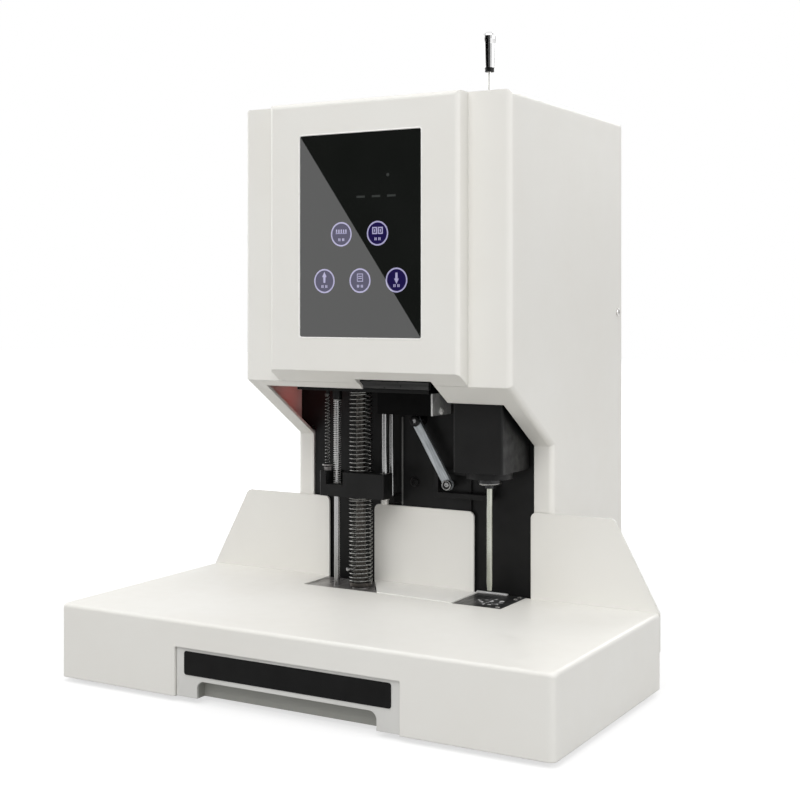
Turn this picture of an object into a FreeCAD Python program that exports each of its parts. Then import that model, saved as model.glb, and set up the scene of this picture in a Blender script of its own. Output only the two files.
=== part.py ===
import FreeCAD, Part
import math
import os

import Sketcher

# Desk machine that drills a stack of paper and rivets it with a hot-melt tube.
# Millimetres, +Z up, +X to the operator's right, operator in front at -Y.
# The origin is on the desk, under the middle of the machine.
# A cut runs 1 mm past each face that it opens; joined solids share 0.1 mm.

doc = FreeCAD.newDocument("riveting_machine")
dims = doc.addObject("Spreadsheet::Sheet", "dims")
places = doc.addObject("App::VarSet", "places")
published = []


# ---------------------------------------------------------------- helpers

def sizes(title, values):
    """Writes one block of driving dimensions to the sheet."""
    row = sizes.row
    dims.set("A%d" % row, title)
    for alias, value in values.items():
        row += 1
        dims.set("A%d" % row, alias)
        dims.set("B%d" % row, str(value))
        dims.setAlias("B%d" % row, alias)
    sizes.row = row + 2


sizes.row = 1


def spots(values):
    """Adds places that follow from the driving dimensions."""
    for name, expression in values.items():
        places.addProperty("App::PropertyFloat", name)
        places.setExpression(name, expression)
        doc.recompute()


def value(expression):
    return float(dims.evalExpression(str(expression)))


def publish(label, item):
    """Names a finished sub-part; the name is that of its file."""
    item.Label = label
    published.append(item)
    return item


def origin_plane(body, role):
    return [item for item in body.Origin.OriginFeatures if item.Role == role][0]


def new_body(name):
    return doc.addObject("PartDesign::Body", name)


def draw_loop(sketch, loop):
    """Draws a circle (u, v, r) or a closed outline of (u, v) corners."""
    first = sketch.GeometryCount
    if len(loop) == 3 and not isinstance(loop[0], (tuple, list)):
        u, v, radius = loop
        centre = FreeCAD.Vector(value(u), value(v), 0)
        axis = FreeCAD.Vector(0, 0, 1)
        sketch.addGeometry(Part.Circle(centre, axis, value(radius)), False)
        pinned = [("DistanceX", 3, u), ("DistanceY", 3, v)]
        for kind, spot, text in pinned:
            rule = Sketcher.Constraint(kind, -1, 1, first, spot, value(text))
            sketch.setExpression("Constraints[%d]" % sketch.addConstraint(rule), str(text))
        rule = Sketcher.Constraint("Radius", first, value(radius))
        sketch.setExpression("Constraints[%d]" % sketch.addConstraint(rule), str(radius))
        return
    corners = [FreeCAD.Vector(value(u), value(v), 0) for u, v in loop]
    count = len(corners)
    for i in range(count):
        side = Part.LineSegment(corners[i], corners[(i + 1) % count])
        sketch.addGeometry(side, False)
    for i in range(count):
        joint = Sketcher.Constraint("Coincident", first + i, 2, first + (i + 1) % count, 1)
        sketch.addConstraint(joint)
    for i, (u, v) in enumerate(loop):
        for kind, text in (("DistanceX", u), ("DistanceY", v)):
            rule = Sketcher.Constraint(kind, -1, 1, first + i, 1, value(text))
            sketch.setExpression("Constraints[%d]" % sketch.addConstraint(rule), str(text))


ROLES = {"x": "YZ_Plane", "y": "XZ_Plane", "z": "XY_Plane"}


def new_sketch(body, along, start, loops):
    sketch = body.newObject("Sketcher::SketchObject", body.Name + "_sketch")
    sketch.AttachmentSupport = (origin_plane(body, ROLES[along]), [""])
    sketch.MapMode = "FlatFace"
    if start is not None:
        sketch.setExpression("AttachmentOffset.Base.z", str(start))
    doc.recompute()
    for loop in loops:
        draw_loop(sketch, loop)
    return sketch


def extrude(body, kind, along, low, high, loops):
    """Pads or pockets loops from low to high along a world axis.

    Loops are (Y, Z) across x, (X, Z) across y and (X, Y) across z.
    """
    start = "-(%s)" % high if along == "y" else low
    sketch = new_sketch(body, along, start, loops)
    feature = body.newObject("PartDesign::" + kind, body.Name + "_" + kind.lower())
    feature.Profile = sketch
    feature.setExpression("Length", "(%s) - (%s)" % (high, low))
    if kind == "Pocket":
        feature.Reversed = True
    doc.recompute()
    return feature


def pad(body, along, low, high, *loops):
    return extrude(body, "Pad", along, low, high, loops)


def pocket(body, along, low, high, *loops):
    before = body.Shape.Volume
    feature = extrude(body, "Pocket", along, low, high, loops)
    if body.Shape.Volume > before - 1e-6:
        raise ValueError("a pocket of %s cuts nothing" % body.Name)
    return feature


def turn(body, loop):
    """Revolves an (X, Z) outline about the vertical axis of its body."""
    sketch = new_sketch(body, "y", None, [loop])
    feature = body.newObject("PartDesign::Revolution", body.Name + "_turn")
    feature.Profile = sketch
    feature.ReferenceAxis = (sketch, ["V_Axis"])
    feature.Angle = 360
    doc.recompute()
    return feature


def box_loop(left, low, right, high):
    return [(left, low), (right, low), (right, high), (left, high)]


def round_edges(body, radius, chosen):
    """Fillets each edge of a body that chosen(middle, direction, length) takes."""
    base = body.Tip
    names = []
    for i, edge in enumerate(base.Shape.Edges):
        if edge.Curve.TypeId != "Part::GeomLine":
            continue
        run = edge.Vertexes[-1].Point - edge.Vertexes[0].Point
        direction = FreeCAD.Vector(abs(run.x), abs(run.y), abs(run.z)).normalize()
        if chosen(edge.CenterOfMass, direction, edge.Length):
            names.append("Edge%d" % (i + 1))
    feature = body.newObject("PartDesign::Fillet", body.Name + "_round")
    feature.Base = (base, names)
    feature.setExpression("Radius", str(radius))
    doc.recompute()
    return feature


def near(a, b):
    return abs(a - value(b)) < 0.01


def move(item, x, y, z):
    item.setExpression("Placement.Base.x", str(x))
    item.setExpression("Placement.Base.y", str(y))
    item.setExpression("Placement.Base.z", str(z))
    return item


def block(name, x, y, z, length, width, height):
    item = doc.addObject("Part::Box", name)
    for prop, text in (("Length", length), ("Width", width), ("Height", height)):
        item.setExpression(prop, str(text))
    return move(item, x, y, z)


def rod(name, x, y, z, radius, height, along="z"):
    item = doc.addObject("Part::Cylinder", name)
    item.setExpression("Radius", str(radius))
    item.setExpression("Height", str(height))
    if along == "x":
        item.Placement.Rotation = FreeCAD.Rotation(FreeCAD.Vector(0, 1, 0), 90)
    if along == "y":
        item.Placement.Rotation = FreeCAD.Rotation(FreeCAD.Vector(1, 0, 0), -90)
    return move(item, x, y, z)


def cut(name, base, *tools):
    result = base
    for i, tool in enumerate(tools):
        step = doc.addObject("Part::Cut", "%s_%d" % (name, i))
        step.Base = result
        step.Tool = tool
        result = step
    return result


def fuse(name, *items):
    item = doc.addObject("Part::MultiFuse", name)
    item.Shapes = list(items)
    return item


def group(name, *items):
    """Separate like solids that share one node."""
    item = doc.addObject("Part::Compound", name)
    item.Links = list(items)
    return item


def tube(name, x, y, z, outer, inner, height, along="z"):
    start = {"x": x, "y": y, "z": z}
    start[along] = "(%s) - 1" % start[along]
    bore = rod(name + "_bore", start["x"], start["y"], start["z"],
               inner, "(%s) + 2" % height, along)
    return cut(name, rod(name + "_body", x, y, z, outer, height, along), bore)


def coil(name, x, y, low, high, radius, wire, turns):
    """Helical spring of square wire, standing on low and ending at high."""
    spine = doc.addObject("Part::Helix", name + "_spine")
    height = "((%s) - (%s) - (%s))" % (high, low, wire)
    spine.setExpression("Height", height)
    spine.setExpression("Pitch", "%s / (%s)" % (height, turns))
    spine.setExpression("Radius", "(%s) - (%s) / 2" % (radius, wire))
    section = doc.addObject("Part::Plane", name + "_section")
    section.setExpression("Length", str(wire))
    section.setExpression("Width", str(wire))
    section.Placement.Rotation = FreeCAD.Rotation(FreeCAD.Vector(1, 0, 0), 90)
    section.setExpression("Placement.Base.x", "(%s) - (%s)" % (radius, wire))
    section.setExpression("Placement.Base.z", "-(%s) / 2" % wire)
    spring = doc.addObject("Part::Sweep", name)
    spring.Sections = [section]
    spring.Spine = spine
    spring.Solid = True
    spring.Frenet = True
    return move(spring, x, y, "(%s) + (%s) / 2" % (low, wire))


# ------------------------------------------------------- driving dimensions

SIZES = {
    "Table box": {
        "foot_height": 4,
        "foot_radius": 11,
        "foot_inset": 30,
        "foot_taper": 1,
        "foot_well_radius": 5.5,
        "foot_well_depth": 1.4,
        "foot_screw_head": 4.5,
        "foot_screw_height": 1,
        "foot_screw_radius": 2,
        "base_width": 430,
        "table_depth": 203,
        "table_height": 58.5,
        "shell": 2.5,
        "base_corner": 5,
        "base_edge": 3,
        "plate": 2,
        "gap": 0.3,
        "doorway_height": 14,
    },
    "Casing": {
        "column_depth": 152.7,
        "rear_lip": 2,
        "machine_height": 467,
        "head_reach": 80,
        "chin_height": 238.6,
        "throat_height": 187.2,
        "flange": 17,
        "casing_edge": 5,
        "notch_left_reach": 15.5,
        "notch_right_reach": 54.3,
        "notch_reach": 85.5,
        "step_left_reach": 72.5,
        "step_right_reach": 57,
    },
    "Front cover and panel": {
        "cover_width": 176,
        "cover_rise": 16,
        "cover_edge": 4,
        "glass_width": 113,
        "glass_height": 163.4,
        "glass_rise": 5,
        "glass_shift": -1.5,
        "glass_sunk": 0.6,
        "window_rim": 4,
        "window_margin": 3,
        "board_thick": 1.6,
        "chip_height": 5,
        "relay_left": 25,
        "relay_rise": 20,
        "relay_side": 22,
        "driver_left": 63,
        "driver_rise": 30,
        "driver_width": 28,
        "driver_height": 14,
        "plug_left": 35,
        "plug_rise": 90,
        "plug_width": 40,
        "plug_height": 10,
    },
    "Fences": {
        "fence_thick": 2,
        "side_fence_height": 70.5,
        "middle_fence_height": 67,
        "side_fence_left_reach": 48.5,
        "side_fence_right_reach": 24.5,
        "fence_slant": 37.5,
        "middle_fence_left_reach": 2,
        "middle_fence_right_reach": 27.5,
        "fence_corner": 5,
        "fence_depth_below": 30,
        "fence_bolt_drop": 20,
        "fence_bolt_outer": 20,
        "fence_bolt_gap": 12.5,
        "middle_bolt_left_reach": 23,
        "middle_bolt_right_reach": 51,
        "bolt_head": 3,
        "bolt_height": 1.6,
    },
    "Stations": {
        "station_pitch": 122,
        "drill_inset": 43.5,
        "rivet_inset": 83.5,
        "station_reach": 28.3,
        "travel": 40,
        "drill_dip": 8.5,
    },
    "Bed": {
        "rivet_cut_left_reach": 47.5,
        "rivet_cut_right_reach": 25.5,
        "rivet_cut_reach": 42,
        "rivet_cut_splay": 27,
        "drill_cut_left_reach": 24,
        "drill_cut_right_reach": 20,
        "drill_cut_reach": 47,
        "bed_thick": 2.5,
        "bed_drop": 4,
        "bridge_left": 6,
        "bridge_right": 4,
        "bend_radius": 3,
        "rivet_plate_drop": 1,
        "plate_clearance": 0.4,
        "drill_plate_drop": 0.2,
        "pad_radius": 11.8,
        "pad_thick": 3,
        "pad_proud": 0.3,
        "pad_clearance": 0.1,
        "pit_spread": 7.8,
        "pit_radius": 1.6,
        "pit_depth": 0.7,
        "strip_left_reach": 25.5,
        "strip_right_reach": 3,
        "strip_setback": 0.5,
        "strip_thick": 3,
        "strip_height": 2.5,
        "plate_screw_inset": 4.5,
        "plate_screw_head": 1.9,
        "plate_screw_height": 0.7,
        "die_radius": 7.5,
        "die_height": 1.0,
        "dish_radius": 2.8,
        "dish_depth": 0.7,
    },
    "Scrap drawer": {
        "drawer_width": 197,
        "drawer_height": 37.6,
        "drawer_sunk": 2,
        "drawer_front": 11.5,
        "drawer_wall": 2,
        "tray_width": 188,
        "tray_depth": 138,
        "tray_height": 34,
        "grip_width": 158,
        "grip_height": 13.7,
        "grip_corner": 6,
        "label_width": 182,
        "label_height": 17.9,
        "label_low": 21.4,
        "label_thick": 0.6,
        "label_corner": 2,
        "rail_thick": 2,
        "rail_height": 10,
        "rail_toe": 8,
        "rail_setback": 2,
    },
    "Mast": {
        "mast_thick": 3,
        "mast_gap": 2.3,
        "mast_drop": 27,
        "mast_step": 6,
        "gusset_depth": 45,
        "gusset_height": 70,
        "gusset_thick": 3,
        "gusset_toe": 4,
        "gusset_left_inset": 27.5,
        "gusset_right_inset": 30.5,
        "gear_plate_thick": 1.7,
        "gear_plate_left_reach": 20.6,
        "gear_plate_right_reach": 46.3,
        "gear_plate_low": 66,
        "gear_plate_top": 224,
        "gear_screw_left_reach": 7.6,
        "gear_screw_low": 150.6,
        "gear_screw_right_reach": 38.3,
        "gear_screw_high": 216,
        "gear_screw_head": 4,
        "gear_screw_height": 2.2,
        "gear_screw_socket": 1.8,
        "gear_screw_depth": 1.2,
    },
    "Rivet press": {
        "rod_pitch": 47.5,
        "rod_radius": 2.6,
        "tie_rod_offset": 20.1,
        "tie_rod_setback": 18,
        "tie_rod_radius": 2,
        "tie_rod_low": 133,
        "tie_lug_height": 6,
        "tie_lug_half": 3.7,
        "rod_spare": 0.5,
        "top_plate_z": 229,
        "top_plate_thick": 3,
        "top_plate_left_reach": 57,
        "top_plate_right_reach": 72.5,
        "top_plate_reach": 12,
        "block_left_reach": 19.5,
        "block_right_reach": 70.8,
        "block_reach": 5,
        "block_depth": 16,
        "block_drop": 18.5,
        "bracket_thick": 1.5,
        "bracket_screw_setback": 10,
        "bracket_screw_drop": 15,
        "bracket_screw_head": 3,
        "bracket_screw_height": 2,
        "carriage_low": 139,
        "carriage_height": 21,
        "carriage_left_reach": 35,
        "carriage_right_reach": 28.5,
        "carriage_reach": 11,
        "carriage_depth": 17,
        "carriage_corner": 2,
        "recess_left": 4.6,
        "recess_right": 12.5,
        "recess_back": 4.4,
        "bush_radius": 4,
        "bush_below": 1,
        "running": 0.05,
        "fitted": 0.02,
        "shaft_radius": 4,
        "shaft_top": 290,
        "shaft_tip": 1.8,
        "shaft_taper": 3,
        "shaft_rise": 1.4,
        "spring_radius": 10.2,
        "spring_wire": 1.4,
        "spring_turns": 20,
        "fine_radius": 3.35,
        "fine_wire": 0.7,
        "fine_turns": 40,
        "fine_sunk": 11,
        "rod_cap_height": 8,
        "return_offset": 31.5,
        "return_reach": 3,
        "return_radius": 2.4,
        "return_wire": 0.8,
        "return_turns": 22,
        "post_height": 5.5,
        "post_nut_radius": 3.1,
        "post_nut_height": 3.2,
        "post_seat_radius": 4.4,
        "post_seat_thick": 1.4,
        "hanger_drop": 3,
        "post_radius": 1.6,
        "rod_cap_radius": 4.4,
        "sleeve_gap": 1.1,
        "sleeve_flange": 9.6,
        "sleeve_hub": 6.2,
        "sleeve_flange_height": 3,
        "sleeve_height": 16.4,
        "actuator_radius": 18,
        "actuator_low": 262,
        "actuator_drop": 37,
        "actuator_nose": 4,
        "actuator_nose_rise": 6,
        "actuator_crown": 3,
        "actuator_crown_drop": 12,
        "actuator_spare": 5,
        "arm_drop": 40,
        "arm_thick": 6,
        "arm_margin": 8,
    },
    "Drill head": {
        "housing_side": 44,
        "housing_low": 168,
        "housing_top": 262,
        "housing_corner": 2,
        "fin_thick": 4,
        "cap_radius": 18.7,
        "cap_height": 5.7,
        "chuck_radius": 9.3,
        "chuck_height": 5,
        "chuck_edge": 1,
        "chuck_nose": 3.8,
        "chuck_nose_drop": 3,
        "bit_radius": 2.4,
        "bit_bore": 1.75,
        "bit_gap": 9,
        "bit_taper": 6.3,
        "tip_radius": 1.95,
        "spindle_radius": 6,
        "spindle_bore": 1.9,
        "spindle_top": 277,
        "bearing_radius": 13,
        "bearing_height": 8,
        "bearing_slack": 0.03,
        "spindle_room": 2,
        "pulley_low": 265,
        "pulley_height": 10,
        "pulley_rim": 1.6,
        "pulley_flange": 1.2,
        "spindle_pulley_radius": 12,
        "motor_pulley_radius": 8,
        "belt_thick": 1.2,
        "belt_height": 7,
        "belt_slack": 0.15,
        "belt_rise": 1.5,
        "motor_plate_z": 278,
        "motor_plate_thick": 3,
        "motor_offset": 53,
        "motor_radius": 17,
        "motor_height": 74,
        "motor_edge": 3,
        "motor_boss": 6,
        "motor_boss_height": 4,
        "motor_shaft": 2.5,
        "motor_shaft_seat": 10,
        "motor_plate_corner": 4,
        "motor_shaft_slack": 0.1,
        "slide_rod_radius": 4,
        "slide_rod_setback": 18.5,
        "slide_rod_left_reach": 30.2,
        "slide_rod_right_reach": 29.4,
        "slide_low": 240,
        "slide_spare_low": 0.5,
        "slide_spare_high": 1,
        "slide_room": 2,
        "lug_room": 0.8,
        "lug_height": 6,
        "lug_half": 6.4,
        "spacer_radius": 3,
        "spacer_inset": 4,
    },
    "Lift lever": {
        "lever_offset": 77.3,
        "lever_z": 204,
        "lever_length": 60.5,
        "lever_angle": 30.8,
        "lever_half": 3.9,
        "lever_eye": 4.5,
        "lever_thick": 3,
        "lever_setback": 15,
        "lever_boss": 4,
        "lever_bolt": 3,
        "lever_bolt_proud": 1.5,
        "lever_bolt_end": 8,
        "shaft_reach": 2,
        "shaft_clearance": 0.3,
        "roller_radius": 3,
        "roller_head": 4.3,
        "roller_head_height": 2.4,
        "yoke_thick": 2.8,
        "yoke_half": 12,
        "yoke_left_reach": 17,
        "yoke_toe": 14,
        "yoke_bar": 4,
        "slot_half": 7.6,
        "gearbox": 44,
        "gearbox_depth": 26,
        "gearbox_corner": 4,
        "lift_motor_radius": 16,
        "lift_motor_length": 60,
        "lift_boss_radius": 5,
        "lift_boss_height": 4,
    },
    "Clearing rod": {
        "clear_radius": 1.5,
        "clear_low": 215,
        "clear_tip": 1,
        "clear_in_knob": 8,
        "collar_rise": 23.4,
        "collar_height": 3.2,
        "collar_radius": 3.7,
        "knob_height": 29.1,
        "knob_radius": 6.1,
        "knob_neck": 4.5,
        "guide_drop": 49,
        "guide_thick": 3,
        "guide_half": 11,
        "guide_front": 9,
        "seat_radius": 4.5,
        "seat_drop": 9,
        "seat_thick": 2,
        "grommet_radius": 6,
        "grommet_lip": 2,
        "grommet_depth": 2.5,
        "grommet_rise": 1.6,
        "rod_spring_radius": 4.2,
        "rod_spring_wire": 0.8,
        "rod_spring_turns": 12,
    },
    "Rear": {
        "rear_thick": 2.5,
        "vent_count": 7,
        "vent_width": 60,
        "vent_pitch": 9,
        "vent_height": 3,
        "vent_low": 330,
        "vent_gap": 20,
        "side_screw_low": 80,
        "side_screw_high": 295.6,
        "side_screw_inset": 9.5,
        "side_screw_head": 3.4,
        "side_screw_height": 0.8,
    },
    "Mains inlet and switch": {
        "inlet_x": 60,
        "inlet_z": 70,
        "inlet_width": 48,
        "inlet_height": 27,
        "inlet_body_width": 27.4,
        "inlet_body_height": 19.4,
        "inlet_depth": 20,
        "inlet_floor": 4,
        "socket_wall": 1.7,
        "contact_width": 2,
        "contact_height": 4,
        "contact_length": 15,
        "contact_pitch": 14,
        "contact_rise": 4,
        "switch_x": 60,
        "switch_z": 112,
        "switch_width": 30,
        "switch_height": 22,
        "switch_body_width": 25.4,
        "switch_body_height": 17.4,
        "switch_depth": 16,
        "switch_floor": 4,
        "rocker_length": 19,
        "rocker_height": 13,
        "rocker_proud": 1.4,
        "rocker_sunk": 1.2,
        "rocker_middle": 1.6,
        "rocker_thick": 4,
    },
    "Inner fittings": {
        "supply_left": -60,
        "supply_length": 100,
        "supply_depth": 60,
        "supply_setback": 10,
        "supply_board": 2,
        "supply_height": 30,
        "transformer_left": 10,
        "transformer_front": 8,
        "transformer_length": 34,
        "transformer_width": 28,
        "capacitor_left": 54,
        "capacitor_front": 10,
        "capacitor_length": 20,
        "laser_rise": 14,
        "laser_setback": 18,
        "laser_arm": 30,
        "laser_width": 16,
        "laser_arm_thick": 3,
        "laser_radius": 4,
        "laser_hold": 22,
        "laser_length": 20,
        "laser_drop": 8,
    },
}

for heading, values in SIZES.items():
    sizes(heading, values)

spots({
    "front": "-(dims.table_depth + dims.fence_thick + dims.gap + dims.column_depth"
             " + dims.rear_lip) / 2",
    "table_back": "places.front + dims.table_depth",
    "fence_back": "places.table_back + dims.fence_thick",
    "column_front": "places.fence_back + dims.gap",
    "column_rear": "places.column_front + dims.column_depth",
    "table_top": "dims.foot_height + dims.table_height",
    "stations_y": "places.column_front - dims.station_reach",
    "tie_rod_y": "places.stations_y + dims.tie_rod_setback",
    "top_plate_front": "places.stations_y - dims.top_plate_reach",
    "block_front": "places.stations_y - dims.block_reach",
    "bracket_screw_y": "places.stations_y + dims.bracket_screw_setback",
    "carriage_front": "places.stations_y - dims.carriage_reach",
    "return_y": "places.stations_y - dims.return_reach",
    "slide_rod_y": "places.stations_y + dims.slide_rod_setback",
    "lever_front": "places.stations_y + dims.lever_setback",
    "head_front": "places.column_front - dims.head_reach",
    "cover_front": "places.head_front - dims.cover_rise",
    "slope": "(dims.chin_height - dims.throat_height) / dims.head_reach",
    "slope_shell": "dims.shell * sqrt(1 + places.slope * places.slope)",
    "half_base": "dims.base_width / 2",
    "half_column": "(dims.rivet_inset + dims.station_pitch + dims.drill_inset) / 2",
    "half_throat": "places.half_column - dims.flange",
    "gusset_left": "dims.gusset_left_inset - places.half_throat",
    "gusset_right": "places.half_throat - dims.gusset_right_inset",
    "drill_x": "places.half_column - dims.drill_inset",
    "rivet_x": "dims.rivet_inset - places.half_column",
    "side_fence_inner_left": "places.rivet_x - dims.side_fence_left_reach",
    "side_fence_inner_right": "places.drill_x + dims.side_fence_right_reach",
    "middle_fence_left": "places.rivet_x - dims.middle_fence_left_reach",
    "middle_fence_right": "places.drill_x - dims.middle_fence_right_reach",
    "middle_bolt_left": "places.rivet_x + dims.middle_bolt_left_reach",
    "middle_bolt_right": "places.drill_x - dims.middle_bolt_right_reach",
    "drill_cut_left": "places.drill_x - dims.drill_cut_left_reach",
    "drill_cut_right": "places.drill_x + dims.drill_cut_right_reach",
    "strip_left": "places.drill_x - dims.strip_left_reach",
    "strip_right": "places.drill_x + dims.strip_right_reach",
    "slide_rod_left": "places.drill_x - dims.slide_rod_left_reach",
    "slide_rod_right": "places.drill_x + dims.slide_rod_right_reach",
    "motor_x": "places.drill_x - dims.motor_offset",
    "lever_x": "places.drill_x - dims.lever_offset",
    "gear_plate_left": "places.lever_x - dims.gear_plate_left_reach",
    "gear_plate_right": "places.lever_x + dims.gear_plate_right_reach",
    "gear_screw_left": "places.lever_x - dims.gear_screw_left_reach",
    "gear_screw_right": "places.lever_x + dims.gear_screw_right_reach",
    "notch_left": "places.lever_x - dims.notch_left_reach",
    "notch_right": "places.lever_x + dims.notch_right_reach",
    "rivet_cut_left": "places.rivet_x - dims.rivet_cut_left_reach",
    "rivet_cut_right": "places.rivet_x + dims.rivet_cut_right_reach",
    "tie_rod_x": "places.rivet_x + dims.tie_rod_offset",
    "top_plate_left": "places.rivet_x - dims.top_plate_left_reach",
    "top_plate_right": "places.rivet_x + dims.top_plate_right_reach",
    "block_left": "places.rivet_x + dims.block_left_reach",
    "block_right": "places.rivet_x + dims.block_right_reach",
    "carriage_left": "places.rivet_x - dims.carriage_left_reach",
    "carriage_right": "places.rivet_x + dims.carriage_right_reach",
    "return_x": "places.rivet_x - dims.return_offset",
    "floor_top": "dims.foot_height + dims.plate",
    "rivet_front": "places.table_back - dims.rivet_cut_reach",
    "drill_front": "places.table_back - dims.drill_cut_reach",
    "bed_top": "places.table_top - dims.bed_drop",
    "mast_front": "places.fence_back + dims.mast_gap",
    "mast_back": "places.mast_front + dims.mast_thick",
    "rod_left": "places.rivet_x - dims.rod_pitch / 2",
    "rod_right": "places.rivet_x + dims.rod_pitch / 2",
    "carriage_top": "dims.carriage_low + dims.carriage_height",
    "fine_low": "places.carriage_top - dims.fine_sunk",
    "fine_high": "dims.top_plate_z - dims.rod_cap_height",
    "return_low": "places.carriage_top + dims.post_height",
    "sleeve_low": "places.table_top + dims.sleeve_gap",
    "sleeve_seat": "places.sleeve_low + dims.sleeve_flange_height",
    "sleeve_top": "places.sleeve_low + dims.sleeve_height",
    "actuator_top": "dims.machine_height - dims.actuator_drop",
    "bit_tip": "places.table_top + dims.bit_gap",
    "glass_low": "(dims.chin_height + dims.machine_height - dims.glass_height) / 2"
                 " + dims.glass_rise",
    "mast_top": "dims.machine_height - dims.mast_drop",
    "guide_z": "dims.machine_height - dims.guide_drop",
    "seat_z": "dims.machine_height - dims.seat_drop",
    "collar_z": "dims.machine_height + dims.collar_rise",
    "lever_end_x": "places.lever_x + dims.lever_length * sin(dims.lever_angle * 1deg)",
    "lever_end_z": "dims.lever_z - dims.lever_length * cos(dims.lever_angle * 1deg)",
    "drawer_face": "places.front + dims.drawer_sunk",
    "drawer_back": "places.drawer_face + dims.drawer_front",
})


# ------------------------------------------------------------ table and base

def base_cover():
    """Table box: five walls, drawer mouth, and cut-outs for both stations."""
    body = new_body("table")
    half, front, back = "places.half_base", "places.front", "places.table_back"
    pad(body, "z", "dims.foot_height", "places.table_top",
        box_loop("-" + half, front, half, back))
    round_edges(body, "dims.base_corner",
                lambda mid, way, size: way.z > 0.9 and near(mid.y, front))
    round_edges(body, "dims.base_edge",
                lambda mid, way, size: near(mid.z, "places.table_top") and way.z < 0.1
                and not near(mid.y, back))
    inside = "(%s - dims.shell)" % half
    pocket(body, "z", "dims.foot_height - 1", "places.table_top - dims.shell",
           box_loop("-" + inside, front + " + dims.shell", inside,
                    back + " - dims.shell"))
    mouth = "(dims.drawer_width / 2 + dims.gap)"
    pocket(body, "y", front + " - 1", front + " + dims.shell + 1",
           box_loop("-" + mouth, "dims.foot_height - 1", mouth,
                    "dims.foot_height + dims.drawer_height + dims.gap"))
    doorway = "(places.half_throat)"
    pocket(body, "y", back + " - dims.shell - 1", back + " + 1",
           box_loop("-" + doorway, "dims.foot_height - 1", doorway,
                    "places.floor_top + dims.doorway_height"))
    rivet_cut = [("places.rivet_cut_left", "places.rivet_front"),
                 ("places.rivet_cut_right", "places.rivet_front"),
                 ("places.rivet_cut_right - dims.rivet_cut_splay", back + " + 1"),
                 ("places.rivet_cut_left", back + " + 1")]
    drill_cut = box_loop("places.drill_cut_left", "places.drill_front",
                         "places.drill_cut_right", back + " + 1")
    pocket(body, "z", "places.bed_top - dims.bed_thick - dims.gap - 1",
           "places.table_top + 1", rivet_cut, drill_cut)
    return publish("base_cover", body)


def base_plate():
    """T-shaped steel floor: wide under the table, narrow under the column."""
    body = new_body("floor")
    wide = "(places.half_base - dims.shell - dims.gap)"
    narrow = "(places.half_column - dims.shell - dims.gap)"
    front = "places.front + dims.shell + dims.gap"
    waist = "places.table_back - dims.shell - dims.gap"
    doorway = "(places.half_throat - dims.gap)"
    throat = "places.column_front + dims.shell + dims.gap"
    rear = "places.column_rear - dims.rear_thick - dims.gap"
    notch = "(dims.drawer_width / 2 + dims.gap)"
    notch_back = "places.drawer_back + dims.gap"
    pad(body, "z", "dims.foot_height", "places.floor_top",
        [("-" + wide, front), ("-" + notch, front), ("-" + notch, notch_back),
         (notch, notch_back), (notch, front), (wide, front), (wide, waist),
         (doorway, waist), (doorway, throat), (narrow, throat), (narrow, rear),
         ("-" + narrow, rear), ("-" + narrow, throat), ("-" + doorway, throat),
         ("-" + doorway, waist), ("-" + wide, waist)])
    return publish("base_plate", fuse("floor_and_rails", body, *drawer_rails()))


def foot_spots():
    side = "(places.half_base - dims.foot_inset)"
    near_y = "places.front + dims.foot_inset"
    mid_y = "places.table_back - dims.foot_inset"
    slim = "(places.half_column - dims.foot_inset)"
    rear_y = "places.column_rear - dims.foot_inset"
    return [("-" + side, near_y), (side, near_y), ("-" + side, mid_y),
            (side, mid_y), ("-" + slim, rear_y), (slim, rear_y)]


def feet():
    """Six rubber feet, each with a screw sunk in its middle."""
    pads = []
    screws = []
    for i, (x, y) in enumerate(foot_spots()):
        foot = doc.addObject("Part::Cone", "foot_%d" % i)
        foot.setExpression("Radius1", "dims.foot_radius - dims.foot_taper")
        foot.setExpression("Radius2", "dims.foot_radius")
        foot.setExpression("Height", "dims.foot_height")
        move(foot, x, y, 0)
        well = rod("foot_well_%d" % i, x, y, -1, "dims.foot_well_radius",
                   "dims.foot_well_depth + 1")
        hole = rod("foot_hole_%d" % i, x, y, -1, "dims.foot_screw_radius + dims.running",
                   "dims.foot_height + 2")
        pads.append(cut("foot_pad_%d" % i, foot, well, hole))
        head = rod("foot_head_%d" % i, x, y, "dims.foot_well_depth - dims.foot_screw_height",
                   "dims.foot_screw_head", "dims.foot_screw_height")
        shank = rod("foot_shank_%d" % i, x, y, "dims.foot_well_depth - 0.1",
                    "dims.foot_screw_radius", "dims.foot_height - dims.foot_well_depth + 0.1")
        screws.append(fuse("foot_screw_%d" % i, head, shank))
    publish("rubber_feet", group("feet", *pads))
    return screws


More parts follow.
